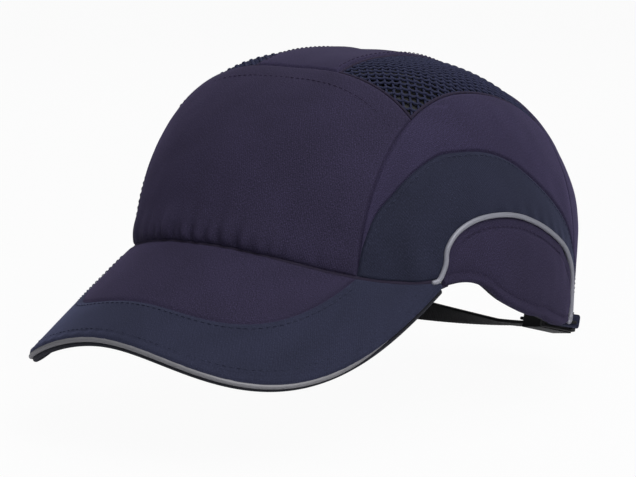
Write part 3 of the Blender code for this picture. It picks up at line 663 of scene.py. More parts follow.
def cloth_material(name, colour, tint, space="uv", rough=0.88, sheen=0.25, grain=1.0):
    """Heathered twill: two thread directions, diagonal rib, slubs, wear patches."""
    colour, tint = srgb(*colour), srgb(*tint)
    shader = Shader(name)
    place = shader.coords(space)
    warp = shader.noise(shader.mapping(place, scale=(3.7, 1.5, 1)), scale=1.0, roughness=0.6)
    weft = shader.noise(shader.mapping(place, scale=(1.5, 3.5, 1)), scale=1.0, roughness=0.6)
    fleck = shader.noise(place, scale=2.1, roughness=0.6)
    patch = shader.noise(place, scale=0.035, detail=3.0)
    twill = shader.wave(shader.mapping(place, rotation=(0, 0, 0.35)), scale=0.50,
                        direction="DIAGONAL", distortion=0.8)
    thread = shader.add(shader.times(warp, 0.55), shader.times(weft, 0.45))
    base = shader.ramp(thread, [(0.36, scaled(colour, 1 - 0.30 * grain)), (0.5, colour),
                                (0.66, scaled(tint, 1 + 0.34 * grain))])
    flecks = shader.times(shader.math("SUBTRACT", fleck, 0.35, clamp=True), 0.8)
    base = shader.mix(flecks, base, tint)
    base = shader.mix(shader.ramp(twill, [(0.25, grey(0.16)), (0.8, grey(0))]), base,
                      scaled(colour, 0.72))
    patches = shader.ramp(patch, [(0.32, grey(0.90)), (0.7, (1.10, 1.09, 1.11, 1))])
    base = shader.mix(1.0, base, patches, blend="MULTIPLY")
    # slightly lighter cloth on raised edges
    pointiness = shader.node("ShaderNodeNewGeometry").outputs["Pointiness"]
    raised_edge_lighter = shader.ramp(pointiness, [(0.50, grey(0)), (0.56, grey(0.35))])
    base = shader.mix(raised_edge_lighter, base, scaled(tint, 1.25))
    roughness = shader.add(shader.times(thread, 0.16), rough - 0.06)
    height = shader.add(shader.times(thread, 0.8), shader.times(twill, 0.35))
    return shader.surface({
        "Base Color": base,
        "Roughness": roughness,
        "Sheen Weight": sheen,
        "Sheen Roughness": 0.45,
        "Sheen Tint": scaled(tint, 9.0),
        "Specular IOR Level": 0.18,
        "Normal": shader.bump(height, strength=0.5, distance=0.00020)})


def webbing_material(name, colour):
    """Ribs both ways, flecked."""
    shader = Shader(name)
    place = shader.coords()
    rib = shader.wave(place, scale=0.42, direction="X", distortion=0.3)
    cross = shader.wave(place, scale=0.55, direction="Y", distortion=0.4)
    fleck = shader.noise(place, scale=1.7)
    ribs = shader.times(shader.add(rib, cross), 0.5)
    base = shader.ramp(shader.add(shader.times(ribs, 0.6), shader.times(fleck, 0.4)),
                       [(0.2, scaled(colour, 0.5)), (0.8, scaled(colour, 1.7))])
    return shader.surface({"Base Color": base, "Roughness": 0.62, "Sheen Weight": 0.1,
                           "Normal": shader.bump(ribs, strength=0.6, distance=0.0003)})


def piping_material(name, colour):
    """Fine beads with faint darker patches."""
    shader = Shader(name)
    place = shader.coords()
    beads = shader.cells(place, scale=4.5)
    patch = shader.noise(place, scale=0.12)
    base = shader.mix(shader.times(beads, 0.5), colour, scaled(colour, 0.6))
    base = shader.mix(shader.times(patch, 0.35), base, scaled(colour, 0.72))
    return shader.surface({"Base Color": base, "Roughness": 0.42, "Metallic": 0.12,
                           "Normal": shader.bump(beads, strength=0.25, distance=0.0001)})


def plastic_material(name, colour, rough=0.42):
    """Fine-grained plastic with a cloudy tone."""
    shader = Shader(name)
    place = shader.coords("object")
    grain = shader.noise(place, scale=1.3, detail=3.0)
    cloud = shader.noise(place, scale=0.05, detail=3.0)
    base = shader.mix(cloud, scaled(colour, 0.8), scaled(colour, 1.3))
    roughness = shader.add(shader.times(cloud, 0.16), rough - 0.08)
    return shader.surface({"Base Color": base, "Roughness": roughness,
                           "Normal": shader.bump(grain, strength=0.25, distance=0.0001)})


def metal_material(name, colour, rough):
    """Metal brushed along x."""
    shader = Shader(name)
    place = shader.coords("object")
    brush = shader.noise(shader.mapping(place, scale=(0.25, 5.0, 5.0)), scale=1.0, detail=3.0)
    cloud = shader.noise(place, scale=0.3, detail=3.0)
    base = shader.mix(cloud, scaled(colour, 0.85), scaled(colour, 1.12))
    roughness = shader.add(shader.times(brush, 0.25), rough - 0.1)
    return shader.surface({"Base Color": base, "Metallic": 1.0, "Roughness": roughness,
                           "Normal": shader.bump(brush, strength=0.12, distance=0.0001)})


def foam_material(name, colour):
    """Cellular cloth over foam."""
    shader = Shader(name)
    place = shader.coords("object")
    cell = shader.cells(place, scale=0.9)
    cloud = shader.noise(place, scale=0.6, detail=3.0)
    base = shader.mix(cell, scaled(colour, 0.55), scaled(colour, 1.5))
    base = shader.mix(shader.times(cloud, 0.4), base, scaled(colour, 0.7))
    return shader.surface({"Base Color": base, "Roughness": 0.95, "Sheen Weight": 0.3,
                           "Normal": shader.bump(cell, strength=0.5, distance=0.0004)})


purple = cloth_material("purple_twill", (47, 43, 64), (61, 54, 80), grain=2.0, sheen=0.13)
purple_side = cloth_material("purple_twill_side", (49, 45, 68), (63, 56, 84), grain=2.0,
                             sheen=0.15)
navy = cloth_material("navy_twill", (40, 42, 59), (50, 53, 72), grain=1.2)
navy_peak = cloth_material("navy_twill_peak", (44, 46, 65), (54, 57, 78), grain=1.2)
under_cloth = cloth_material("navy_underside", (46, 47, 60), (56, 57, 70), grain=0.6)
# dark twill for the joint seam under the peak, and painted shadow for the band round the vents
seam_and_shadow_cloth = cloth_material("seam_and_shadow_twill", (40, 36, 52), (50, 44, 62), grain=0.7)
sweat_cloth = cloth_material("sweatband_towelling", (30, 30, 34), (46, 46, 52), rough=0.95,
                             sheen=0.6, grain=1.3)
mesh_yarn = cloth_material("mesh_yarn", (28, 30, 48), (50, 53, 80), rough=0.72, sheen=0.2)
piping = piping_material("reflective_piping", srgb(162, 163, 174))
# a darker copy of the reflective piping for the peak's edge: painted shade
shaded_peak_piping = piping_material("reflective_piping_shaded", srgb(146, 145, 150))
binding = cloth_material("edge_binding", (36, 37, 42), (52, 53, 60), grain=0.7)
webbing = webbing_material("black_webbing", srgb(20, 20, 23))
thread_purple = cloth_material("thread_purple", (40, 35, 52), (58, 50, 74), space="object")
thread_navy = cloth_material("thread_navy", (32, 34, 48), (58, 61, 82), space="object")
thread_under = cloth_material("thread_under", (70, 71, 84), (90, 91, 104), space="object")
shell_plastic = plastic_material("shell_plastic", srgb(13, 13, 15))
board_plastic = plastic_material("board_plastic", srgb(40, 40, 42), rough=0.55)
foam = foam_material("foam_cloth", srgb(38, 38, 42))
buckle_steel = metal_material("buckle_steel", srgb(34, 34, 36), rough=0.42)
pin_steel = metal_material("pin_steel", srgb(96, 96, 99), rough=0.3)

MATERIALS_IN_SLOT = {
    "purple_twill": (purple, purple_side, thread_purple),
    "navy_twill": (navy, navy_peak, under_cloth, seam_and_shadow_cloth, binding, thread_navy, thread_under),
    "sweat_cloth": (sweat_cloth,),
    "navy_mesh": (mesh_yarn,),
    "grey_reflective": (piping, shaded_peak_piping),
    "black_webbing": (webbing,),
    "shell_plastic": (shell_plastic,),
    "foam": (foam,),
}
SLOT_OF = {material.name: slot for slot, group in MATERIALS_IN_SLOT.items()
           for material in group}

# The left side is drawn; the right is its mirror image
SIDES = (("left", False), ("right", True))

# =============================================================================
# crown panels
# =============================================================================


def dome_panel(name, grid, material, replaces, extra=None, seed=0.0, waviness=0.28,
               mirrored=False):
    """A cloth panel on the dome: sewn edges dip, the middle puffs and ripples a little."""
    points = snap(grid)
    out = normal(points)
    run, rise, edges = cloth_lengths(points)
    nearest = np.minimum.reduce(edges)
    offset = seam_dip(nearest) - 0.35
    offset = offset + waviness * wobble(points, 26.0, seed) * smooth(nearest, 1.0, 8.0)
    offset = offset + 0.10 * wobble(points, 9.0, seed + 3) * smooth(nearest, 0.5, 4.0)
    if extra is not None:
        offset = offset + extra(points, run, rise, edges)
    outer = points + out * offset[..., None]
    inner = points + out * (offset - CLOTH_T)[..., None]
    if mirrored:
        outer, inner = mirror(outer), mirror(inner)
    closed_sheet(name, outer, inner, material, np.stack([run, rise], -1), replaces=replaces)


# Gathers of the front panel along the peak: place from the middle, depth, half width
PUCKERS = [
    (-57, 0.22, 2.6), (-49, 0.30, 2.8), (-43, 0.35, 2.4), (-36.5, 0.55, 2.6), (-30, 0.8, 2.4),
    (-24.5, 1.1, 2.0), (-15.5, 1.25, 1.8), (-11.5, 1.35, 1.7), (-4.3, 1.6, 1.9),
    (2.2, 1.0, 1.8), (9.5, 1.15, 1.9), (17.6, 1.35, 2.0), (24.6, 0.55, 2.2), (31.5, 0.5, 2.0),
    (37, 0.45, 1.8), (45, 0.35, 2.2), (52, 0.3, 2.0)]


def front_relief(points, run, rise, edges):
    """Gathers that fade upwards, over a rolled lower edge."""
    low = edges.low
    folds = np.zeros_like(low)
    for k, (place, depth, width) in enumerate(PUCKERS):
        across = run - place - 0.10 * math.sin(k * 2.3) * low
        spread = 1 + low / 22.0
        reach = 7.0 + 5.0 * scatter(k, 3)
        folds -= 1.30 * depth * bell(across, width * spread) * bell(low, reach)
        ridge = across - (2.6 + 1.2 * scatter(k, 5))
        folds += 0.5 * depth * bell(ridge, width * 0.9 * spread) * bell(low, reach * 0.8)
    folds *= smooth(low, -0.2, 2.2) * 0.8 + 0.2
    side = smooth(np.minimum(edges.start, edges.end), 0, 9)
    bulge = 1.9 * bell(low - 5.0, 7.5) - 1.1 * bell(low, 1.7)
    bulge = bulge * (1 - 0.6 * smooth(np.abs(run), 22, 50))
    # very soft unevenness running up from the gathers
    soft = 0.35 * wobble(points * np.array([1.0, 1.0, 0.35]), 11.0, 31.0) * bell(low, 34.0) * side
    return folds * side * 0.92 + bulge * (0.55 + 0.45 * side) + soft


def side_relief(points, run, rise, edges):
    """Fine gathers at the lower seam and faint drag lines rising from the temple."""
    y, z = points[..., 1], points[..., 2]
    temple = bell(y + 60, 16) * bell(z - 34, 14)
    gathers = 0.45 * np.sin(run / 1.7) * bell(edges.low, 6.0) * smooth(edges.start, 1, 6)
    return gathers * 0.4 + 0.5 * temple * np.sin(y / 2.1)


def lobe_relief(points, run, rise, edges):
    """A padded lobe with a topstitched channel above and a hem below."""
    inside = np.minimum(np.minimum(edges.start, edges.end),
                        np.minimum(edges.low * 1.3, edges.high))
    puff = 0.9 * smooth(inside, 0.0, 13.0)
    channel = -0.28 * bell(edges.high - 5.2, 0.8)
    hem = 0.55 * bell(edges.low - 1.6, 1.5) - 0.3 * bell(edges.low - 4.6, 0.8)
    wrinkles = (0.30 * np.sin(run / 2.6 + rise / 9.0) * np.exp(-(edges.high / 9.0) ** 2)
                * smooth(run, 10, 40))
    return puff + channel + hem + wrinkles


def side_piping(side, mirrored):
    """Reflective cord along the top of the ear lobe, curling in at both ends."""
    tip = snap(spline([(77.9, -55.9, 30.2), (78.7, -54.6, 30.3), (79.3, -53.6, 31.2)], 8))
    curl = snap(spline([(75.8, 41.1, 4.8), (75.9, 40.4, 2.8), (76.3, 38.9, 1.5),
                        (76.8, 36.9, 1.3)], 8))
    path = np.vstack([tip[:-1], along(lobe_top, np.linspace(0.02, 0.985, 260)), curl[1:]])
    path = along(path, even(320))
    relax(path)
    path = snap(path, 0.30)
    tube(f"side_piping_cord_{side}", mirror(path) if mirrored else path, 1.05, piping, 14,
         f"side_piping_{side}")


dome_panel("front_panel_cloth",
           coons(joint_mid, trans, mirror(seam_front), seam_front, eased(281), eased(141)),
           purple, "front_panel", front_relief, seed=1.0)

strip_rear = opening[np.abs(opening[:, 0]) <= STRIP_X + 1e-6][::-1]
strip_rear = np.vstack([mirror(opening_corner[None]), strip_rear[1:-1], opening_corner[None]])
strip_front = trans[np.abs(trans[:, 0]) <= STRIP_X]
strip_front = np.vstack([mirror(strip_edge[:1]), strip_front, strip_edge[:1]])
dome_panel("crown_strip_cloth",
           coons(strip_front, strip_rear, mirror(strip_edge), strip_edge, eased(71), eased(181)),
           purple_side, "crown_centre_strip", seed=2.0)

# The panel grids have a line of points at each seam corner on their edges
arch_grid = coons(side_top_front, [(seam_front, 0.3), (mesh_outer, 0.7)],
                  np.array([front_corner, front_corner + 1e-6]),
                  snap(np.linspace(side_corner, mesh_corner, 30)),
                  np.unique(np.r_[0.010 + 0.99 * eased(190), 0.3]), eased(81))
rear_inner = strip_edge[np.argmin(np.abs(strip_edge[:, 1] - MESH_END_Y)):]
rear_inner = np.vstack([mesh_inner[-1:], rear_inner[1:]])[::-1]
rear_grid = coons(opening_left[::-1],
                  [(mesh_end, 0.42), (snap(np.linspace(mesh_corner, side_corner, 30)), 0.58)],
                  rear_inner, side_top_rear[::-1], np.unique(np.r_[eased(130), 0.42]), eased(101))
side_grid = coons(lobe_top, side_top, joint_side,
                  snap(np.linspace(lobe_top[-1], side_top[-1], 30)), eased(241), eased(81))
lobe_places = 0.012 + 0.980 * eased(201)
lobe_grid = ruled(along(lobe_low, lobe_places), along(lobe_top, lobe_places), 81)

for side, mirrored in SIDES:
    dome_panel(f"side_arch_cloth_{side}", arch_grid, purple_side, f"side_arch_{side}",
               seed=4.0, mirrored=mirrored)
    dome_panel(f"rear_panel_cloth_{side}", rear_grid, purple_side, f"rear_panel_{side}",
               seed=5.0, mirrored=mirrored)
    dome_panel(f"side_panel_cloth_{side}", side_grid, navy, f"side_panel_{side}",
               side_relief, seed=6.0, mirrored=mirrored)
    dome_panel(f"ear_lobe_cloth_{side}", lobe_grid, purple, f"ear_lobe_{side}",
               lobe_relief, seed=7.0, waviness=0.4, mirrored=mirrored)
    side_piping(side, mirrored)

# ---- knitted mesh vents: two families of diagonal strands --------------------
STRAND_STEP = 3.15 * math.sqrt(2)    # between strands, measured along x
STRAND_SIDES = 6
NET_INSET = 0.2
# slope in plan, depth, over-and-under height, radius, sideways sway
STRAND_FAMILIES = ((1.0, -1.65, 0.20, 0.62, 0.22 * 0.7), (-1.0, -1.95, -0.20, 0.50, 0.0))


def strand_lines(slope):
    """x and y arrays of each strand y = slope * (x - start) that crosses the vent."""
    x0, x1 = STRIP_X + NET_INSET, SEAM_X - NET_INSET
    y0, y1 = TRANS_Y + NET_INSET, MESH_END_Y - NET_INSET
    low = min(x0 - slope * y0, x0 - slope * y1)
    high = max(x1 - slope * y0, x1 - slope * y1)
    start = math.floor(low / STRAND_STEP) * STRAND_STEP
    k = 0
    while start < high + STRAND_STEP:
        x = np.linspace(x0, x1, 400)
        y = slope * (x - start)
        inside = (y >= y0) & (y <= y1)
        if inside.sum() > 12:
            x, y = x[inside], y[inside]
            count = max(5, int(math.hypot(x[-1] - x[0], y[-1] - y[0]) / 0.55))
            yield k, np.linspace(x[0], x[-1], count), np.linspace(y[0], y[-1], count)
        start += STRAND_STEP
        k += 1


def vent_net(side, mirrored):
    verts, faces, uv = [], [], []
    for slope, depth, weave, radius, sway in STRAND_FAMILIES:
        for k, x, y in strand_lines(slope):
            phase = 2 * math.pi * (x + slope * y) / STRAND_STEP
            shift = sway * np.sin(phase + math.pi * (k % 2))
            points = dome_above(x + shift, y - shift)
            out = normal(points)
            points = points + out * (depth + weave * np.cos(phase))[:, None]
            across = np.cross(unit(np.gradient(points, axis=0)), out)
            faces += loft_faces(len(points), STRAND_SIDES, len(verts))
            for i, travelled in enumerate(lengths_along(points)):
                verts.extend(ring_points(points[i], across[i] * radius, out[i] * radius * 0.85,
                                         STRAND_SIDES))
                uv += [(travelled, j * 0.6) for j in range(STRAND_SIDES)]
    verts = np.array(verts)
    make(f"mesh_vent_net_{side}", mirror(verts) if mirrored else verts, faces, mesh_yarn,
         f"mesh_panel_{side}", uv)


def vent_shadow_band(side, mirrored):
    """Narrow dark band all the way round the vent's edge: painted shadow where the mesh meets the
    cloth.
    """
    corners = [(STRIP_X, TRANS_Y), (SEAM_X, TRANS_Y), (SEAM_X, MESH_END_Y),
               (STRIP_X, MESH_END_Y)]
    fraction = even(60)[:-1, None]
    loop = np.vstack([np.array(start) * (1 - fraction) + np.array(end) * fraction
                      for start, end in zip(corners, corners[1:] + corners[:1])])
    rows = []
    for inset, offset in ((0.1, -1.2), (0.5, -0.85), (0.9, -0.9), (1.2, -1.3)):
        points = dome_above(np.clip(loop[:, 0], STRIP_X + inset, SEAM_X - inset),
                            np.clip(loop[:, 1], TRANS_Y + inset, MESH_END_Y - inset))
        rows.append(points + normal(points) * offset)
    outer = np.stack(rows, 1)
    inner = outer - normal(outer) * 0.5
    if mirrored:
        outer, inner = mirror(outer), mirror(inner)
    coords = np.array([[(i * 1.1, j * 0.8) for j in range(4)] for i in range(len(loop))])
    closed_sheet(f"mesh_vent_shadow_band_{side}", outer, inner, seam_and_shadow_cloth, coords, ring=True)


for side, mirrored in SIDES:
    vent_net(side, mirrored)
    # a band of painted shadow round the edge of each vent
    vent_shadow_band(side, mirrored)

# ---- binding round the rear opening -----------------------------------------
# distance into the opening, height over the dome
OPENING_PROFILE = [
    (-1.3, -1.35), (0.2, -0.75), (0.9, -0.1), (2.2, 0.35), (3.5, 0.2), (4.5, -0.5),
    (4.7, -1.3), (4.2, -2.0), (2.8, -2.4), (1.2, -2.4), (-1.2, -2.2)]


def opening_tape():
    edge = along(opening, np.linspace(0.004, 0.996, 161))
    inward = unit(np.array([0.0, 98.0, 0.0]) - edge)
    rows = np.stack([snap(edge + inward * inset, height) for inset, height in OPENING_PROFILE], 1)
    uv = [(i * 1.3, j * 1.0) for i in range(len(rows)) for j in range(len(OPENING_PROFILE))]
    swept_profile("rear_opening_tape", rows, navy, uv, "rear_opening_binding")


opening_tape()

# =============================================================================
# peak
# =============================================================================


def peak_panel(name, inner_edge, outer_edge, places, count, material, replaces, base=0.0,
               dip=0.55, sewn=Edges._fields, extra=None, seed=0.0):
    """A cloth panel on the peak surface; its sewn edges dip."""
    plan = ruled(edge_points(inner_edge, places), edge_points(outer_edge, places), count)
    points = peak_point(plan)
    run, rise, edges = cloth_lengths(points)
    nearest = np.minimum.reduce([getattr(edges, edge) for edge in sewn])
    offset = (base + seam_dip(nearest, depth=dip, width=1.1, puff=0.25, reach=4.0)
              + 0.12 * wobble(points, 22.0, seed) * smooth(nearest, 1, 6))
    if extra is not None:
        offset = offset + extra(run, edges)
    up = peak_normal(plan)
    closed_sheet(name, points + up * offset[..., None],
                 points + up * (offset - PEAK_CLOTH_T)[..., None], material,
                 np.stack([run, rise], -1), replaces=replaces)


def band_relief(run, edges):
    """Edge topstitch channel, cloth rolling over the edge, and fine puckers between."""
    edge = edges.high
    channel = bell(edge - 3.4, 0.6) * -0.12
    roll = -0.75 * bell(edge, 0.8)
    puckers = 0.16 * np.sin(run / 1.15 + 0.8 * np.sin(run / 7.0)) * bell(edge, 4.5)
    return channel + roll + puckers


def under_relief(run, edges):
    """A raised line at each stitched row."""
    return sum(0.22 * bell(edges.high - UNDER_ROW_PITCH * k, 0.7) for k in range(1, 8))


division = superellipse(BAND_W, BAND_LEN, BAND_N)
division = np.vstack([flat(front_corner), division[division[:, 1] < front_corner[1]],
                      flat(mirror(front_corner))])
peak_panel("peak_top_inner_cloth", flat(joint_mid[::-1]), division, even(201), 61, purple,
           "peak_top_inner", sewn=("low", "high"), seed=11.0)
peak_panel("peak_top_band_cloth",
           [(flat(joint_side), 0.12), (division, 0.76), (flat(mirror(joint_side[::-1])), 0.12)],
           peak_outline(0.45), np.unique(np.r_[np.linspace(0.002, 0.998, 280), 0.12, 0.88]), 61,
           navy_peak, "peak_top_band", sewn=("low",), extra=band_relief, seed=12.0)
peak_panel("peak_underside_cloth", flat(joint[::-1]), peak_outline(UNDER_INSET),
           np.linspace(0.006, 0.994, 220), 81, under_cloth, "peak_underside", base=-3.55,
           dip=-0.3, extra=under_relief, seed=13.0)


def peak_edge():
    """Reflective cord, thinner at the temples, over a binding tape."""
    places = np.linspace(0.004, 0.996, 460)
    near_end = 1 - smooth(np.minimum(places, 1 - places), 0.04, 0.20)
    line = along(peak_outline(0.25), places)
    line = line + (along(peak_outline(1.5), places) - line) * near_end[:, None]
    # the cord gets the darker copy of the piping: painted shade
    tube("peak_edge_piping_cord", peak_point(line, -1.60), 1.0 - 0.30 * near_end, shaded_peak_piping,
         14, "peak_edge_piping")
    tube("peak_edge_binding_tape", peak_point(along(peak_outline(0.50), places), -3.60), 1.15,
         binding, replaces="peak_edge_binding")


def peak_joint():
    """Seam allowance that closes the joint between crown and peak."""
    middle = snap(along(joint, np.linspace(0.004, 0.996, 300)), -1.3) + np.array([0, 0, -0.7])
    left_end = snap(along(lobe_low, np.linspace(0.0, 0.032, 8)[1:]), -1.5)
    path = np.vstack([mirror(left_end)[::-1], middle, left_end])
    order = np.arange(len(path))
    tube("peak_joint_seam", path, 0.6 + 0.65 * smooth(np.minimum(order, order[::-1]), 0, 10),
         seam_and_shadow_cloth, 10)


def set_material(node, material):
    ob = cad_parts[node]
    ob.data.materials.clear()
    ob.data.materials.append(material)
    return ob


peak_edge()
set_material("peak_board", board_plastic)
peak_joint()

# =============================================================================
# stitching
# =============================================================================


def dome_run(curve, offset):
    points = snap(curve)
    out = normal(points)
    return points + out * offset, out


def beside(curve, toward, distance):
    """The curve moved a distance over the dome towards another curve."""
    start = along(curve, even(200))
    return start + unit(along(toward, even(200)) - start, 1e-9) * distance


def both_sides(runs):
    return runs + [(mirror(points), mirror(out)) for points, out in runs]


def peak_run(curve, offset):
    plan = along(curve, even(400))
    return peak_point(plan, offset), peak_normal(plan)


def underside_runs():
    """Rows that follow the peak's outline, each ending short of the crown."""
    runs = []
    half_joint = joint_mid[40:]
    for k in range(1, 8):
        row = peak_outline(UNDER_INSET + UNDER_ROW_PITCH * k)
        limit = np.interp(np.abs(row[:, 0]), np.abs(half_joint[:, 0]), half_joint[:, 1])
        row = row[row[:, 1] < limit - 3]
        if len(row) > 20:
            plan = along(row, even(300))
            runs.append((peak_point(plan, -4.50), -peak_normal(plan)))
    return runs


purple_runs = [
    dome_run(beside(strip_edge, mirror(strip_edge), 2.2)[4:-4], -0.1),
    dome_run(along(beside(lobe_top, lobe_low, 4.6), np.linspace(0.16, 0.72, 200)), 0.22),
    dome_run(along(beside(lobe_low, lobe_top, 4.6), np.linspace(0.10, 0.93, 200)), -0.02),
    dome_run(along(beside(opening_left, side_top_rear[::-1][:2], 2.2),
                   np.linspace(0.1, 0.99, 80)), -0.1),
]
front_row = dome_run(snap(cross_seam(TRANS_Y - 9.0, np.linspace(-57, 57, 60))), -0.02)
side_row = dome_run(along(beside(side_top, lobe_top, 2.3), np.linspace(0.03, 0.98, 200)), -0.08)
stitches("crown_stitching", both_sides(purple_runs) + [front_row], thread_purple)
stitches("side_panel_stitching", both_sides([side_row]), thread_navy)

division_row = superellipse(BAND_W + 1.9, BAND_LEN + 1.9, BAND_N)
division_row = division_row[division_row[:, 1] < front_corner[1] - 4]
edge_row = peak_outline(4.3)
edge_row = edge_row[edge_row[:, 1] < TEMPLE_Y - 8]
stitches("peak_top_stitching", [peak_run(division_row, 0.30), peak_run(edge_row, 0.22)],
         thread_navy)
stitches("peak_underside_stitching", underside_runs(), thread_under, pitch=3.4, size=2.5)

# =============================================================================
# hard shell, with rounded vent slots
# =============================================================================
SHELL_AROUND, SHELL_ROWS = 72, 22
SHELL_CORE = np.array([0.0, -5.0, 25.0])


def is_slot(i, j):
    """Whether the shell's face i round, j up is left out."""
    if j in (5, 6):
        return i % 8 in (3, 4)
    side_on = abs(math.cos(2 * math.pi * (i + 0.5) / SHELL_AROUND)) > 0.45
    return j in (11, 12, 15, 16) and i % 6 in (2, 3, 4) and side_on


def head_shell():
    turn = np.linspace(0, 2 * math.pi, SHELL_AROUND, endpoint=False)
    rim_z = 55.0 - 3.0 * np.cos(2 * turn)
    rim = cast(np.stack([0 * turn, 0 * turn + SHELL_CORE[1], rim_z], -1),
               np.stack([np.cos(turn), np.sin(turn), 0 * turn], -1)) - SHELL_CORE
    rim_elevation = np.arctan2(rim[:, 2], np.hypot(rim[:, 0], rim[:, 1]))
    heading = np.arctan2(rim[:, 1], rim[:, 0])
    verts = []
    for j in range(SHELL_ROWS):
        elevation = rim_elevation + (math.pi / 2 - rim_elevation) * j / SHELL_ROWS
        points = cast(SHELL_CORE, np.stack([np.cos(elevation) * np.cos(heading),
                                            np.cos(elevation) * np.sin(heading),
                                            np.sin(elevation)], -1))
        verts.extend(points + normal(points) * SHELL_OFF)
    pole = len(verts)
    verts.append(dome_above(0.0, SHELL_CORE[1]) + np.array([0, 0, SHELL_OFF]))

    def index(i, j):
        return j * SHELL_AROUND + i % SHELL_AROUND

    faces = [(index(i, j), index(i + 1, j), index(i + 1, j + 1), index(i, j + 1))
             for i in range(SHELL_AROUND) for j in range(SHELL_ROWS - 1) if not is_slot(i, j)]
    faces += [(index(i, SHELL_ROWS - 1), index(i + 1, SHELL_ROWS - 1), pole)
              for i in range(SHELL_AROUND)]
    ob = make("head_shell", verts, faces, shell_plastic, "protective_shell", recalculate=False)
    thickness = ob.modifiers.new("thickness", "SOLIDIFY")
    thickness.thickness = SHELL_T * MM
    thickness.offset = -1.0
    rounding = ob.modifiers.new("round", "SUBSURF")
    rounding.levels = rounding.render_levels = 1


head_shell()

# =============================================================================
# sweatband and foam pads
# =============================================================================
# height over the cap's lower edge, distance out from the dome
SWEATBAND_PROFILE = [
    (1.0, -1.5), (0.0, -2.6), (-0.4, -4.4), (0.4, -6.6), (3.0, -8.1), (8.0, -8.6),
    (14.0, -8.8), (20.0, -8.5), (25.0, -8.0), (27.0, -7.0), (27.2, -6.2), (25.5, -5.7),
    (18.0, -5.7), (9.0, -5.6), (4.0, -5.0), (2.2, -3.4), (2.0, -1.9)]


def sweatband():
    left = np.vstack([snap([(68, 60, 0.5), (73, 50, 1.0)]), lobe_low[::-1][2:], joint_side])
    rim = np.vstack([left, joint_mid[::-1][1:], mirror(left)[::-1][1:]])
    rim = along(rim, even(361))
    relax(rim)
    rim = rim + np.array([0, 0, 1.0])
    rows = np.stack([snap(rim + np.array([0, 0, height]), offset)
                     for height, offset in SWEATBAND_PROFILE], 1)
    ripple = 0.22 * wobble(rows, 14.0, 21.0)
    rows = rows + normal(rows) * ripple[..., None]
    uv = [(travelled, j * 2.4) for travelled in lengths_along(rim)
          for j in range(len(SWEATBAND_PROFILE))]
    swept_profile("sweatband_towel", rows, sweat_cloth, uv, "sweatband")


def cloth_puff(ob, voxel=1.9, limit=1.3, frames=20):
    """Remesh and inflate a soft block with a cloth simulation; no point moves over limit."""
    remesh = ob.modifiers.new("remesh", "REMESH")
    remesh.mode = "VOXEL"
    remesh.voxel_size = voxel * MM
    mesh = bpy.data.meshes.new_from_object(
        ob.evaluated_get(bpy.context.evaluated_depsgraph_get()))
    ob.modifiers.clear()
    ob.data = mesh
    mesh.materials.clear()
    mesh.materials.append(foam)
    rest = np.array([vert.co for vert in mesh.vertices], float)
    cloth = ob.modifiers.new("cloth", "CLOTH")
    settings = cloth.settings
    settings.quality = 5
    settings.mass = 0.15
    settings.tension_stiffness = 12
    settings.compression_stiffness = 12
    settings.shear_stiffness = 4
    settings.bending_stiffness = 0.4
    settings.use_pressure = True
    settings.uniform_pressure_force = 4.0
    settings.effector_weights.gravity = 0.0
    cloth.point_cache.frame_start = 1
    cloth.point_cache.frame_end = frames
    for i in range(1, frames + 1):
        bpy.context.scene.frame_set(i)
    puffed = ob.evaluated_get(bpy.context.evaluated_depsgraph_get())
    move = np.array([vert.co for vert in puffed.data.vertices], float) - rest
    ob.modifiers.clear()
    bpy.context.scene.frame_set(1)
    distance = np.linalg.norm(move, axis=1, keepdims=True)
    move *= np.minimum(1.0, limit * MM / np.maximum(distance, 1e-9))
    mesh.vertices.foreach_set("co", (rest + move).astype(np.float32).ravel())
    mesh.update()
    mesh.polygons.foreach_set("use_smooth", [True] * len(mesh.polygons))
    soft = ob.modifiers.new("soft", "SUBSURF")
    soft.levels = soft.render_levels = 1


def foam_pad(name, replaces, corners, columns, mirrored=False):
    """A puffed block with rounded corners; corners go round it, in order."""
    rows = 12
    u = even(columns + 1)[:, None, None]
    v = even(rows + 1)[None, :, None]
    first, second, third, fourth = snap(corners)
    grid = (1 - u) * (1 - v) * first + u * (1 - v) * second + u * v * third + (1 - u) * v * fourth
    centre = grid.mean((0, 1))
    grid = centre + (grid - centre) * 0.95
    across, upward = np.meshgrid(np.linspace(-1, 1, columns + 1), np.linspace(-1, 1, rows + 1),
                                 indexing="ij")
    grid = centre + (grid - centre) * (1 - 0.10 * (across ** 2 * upward ** 2))[..., None]
    points = snap(grid)
    out = normal(points)
    outer, inner = points + out * PAD_OFF, points + out * (PAD_OFF - PAD_T)
    if mirrored:
        outer, inner = mirror(outer), mirror(inner)
    cloth_puff(closed_sheet(name, outer, inner, foam, replaces=replaces))


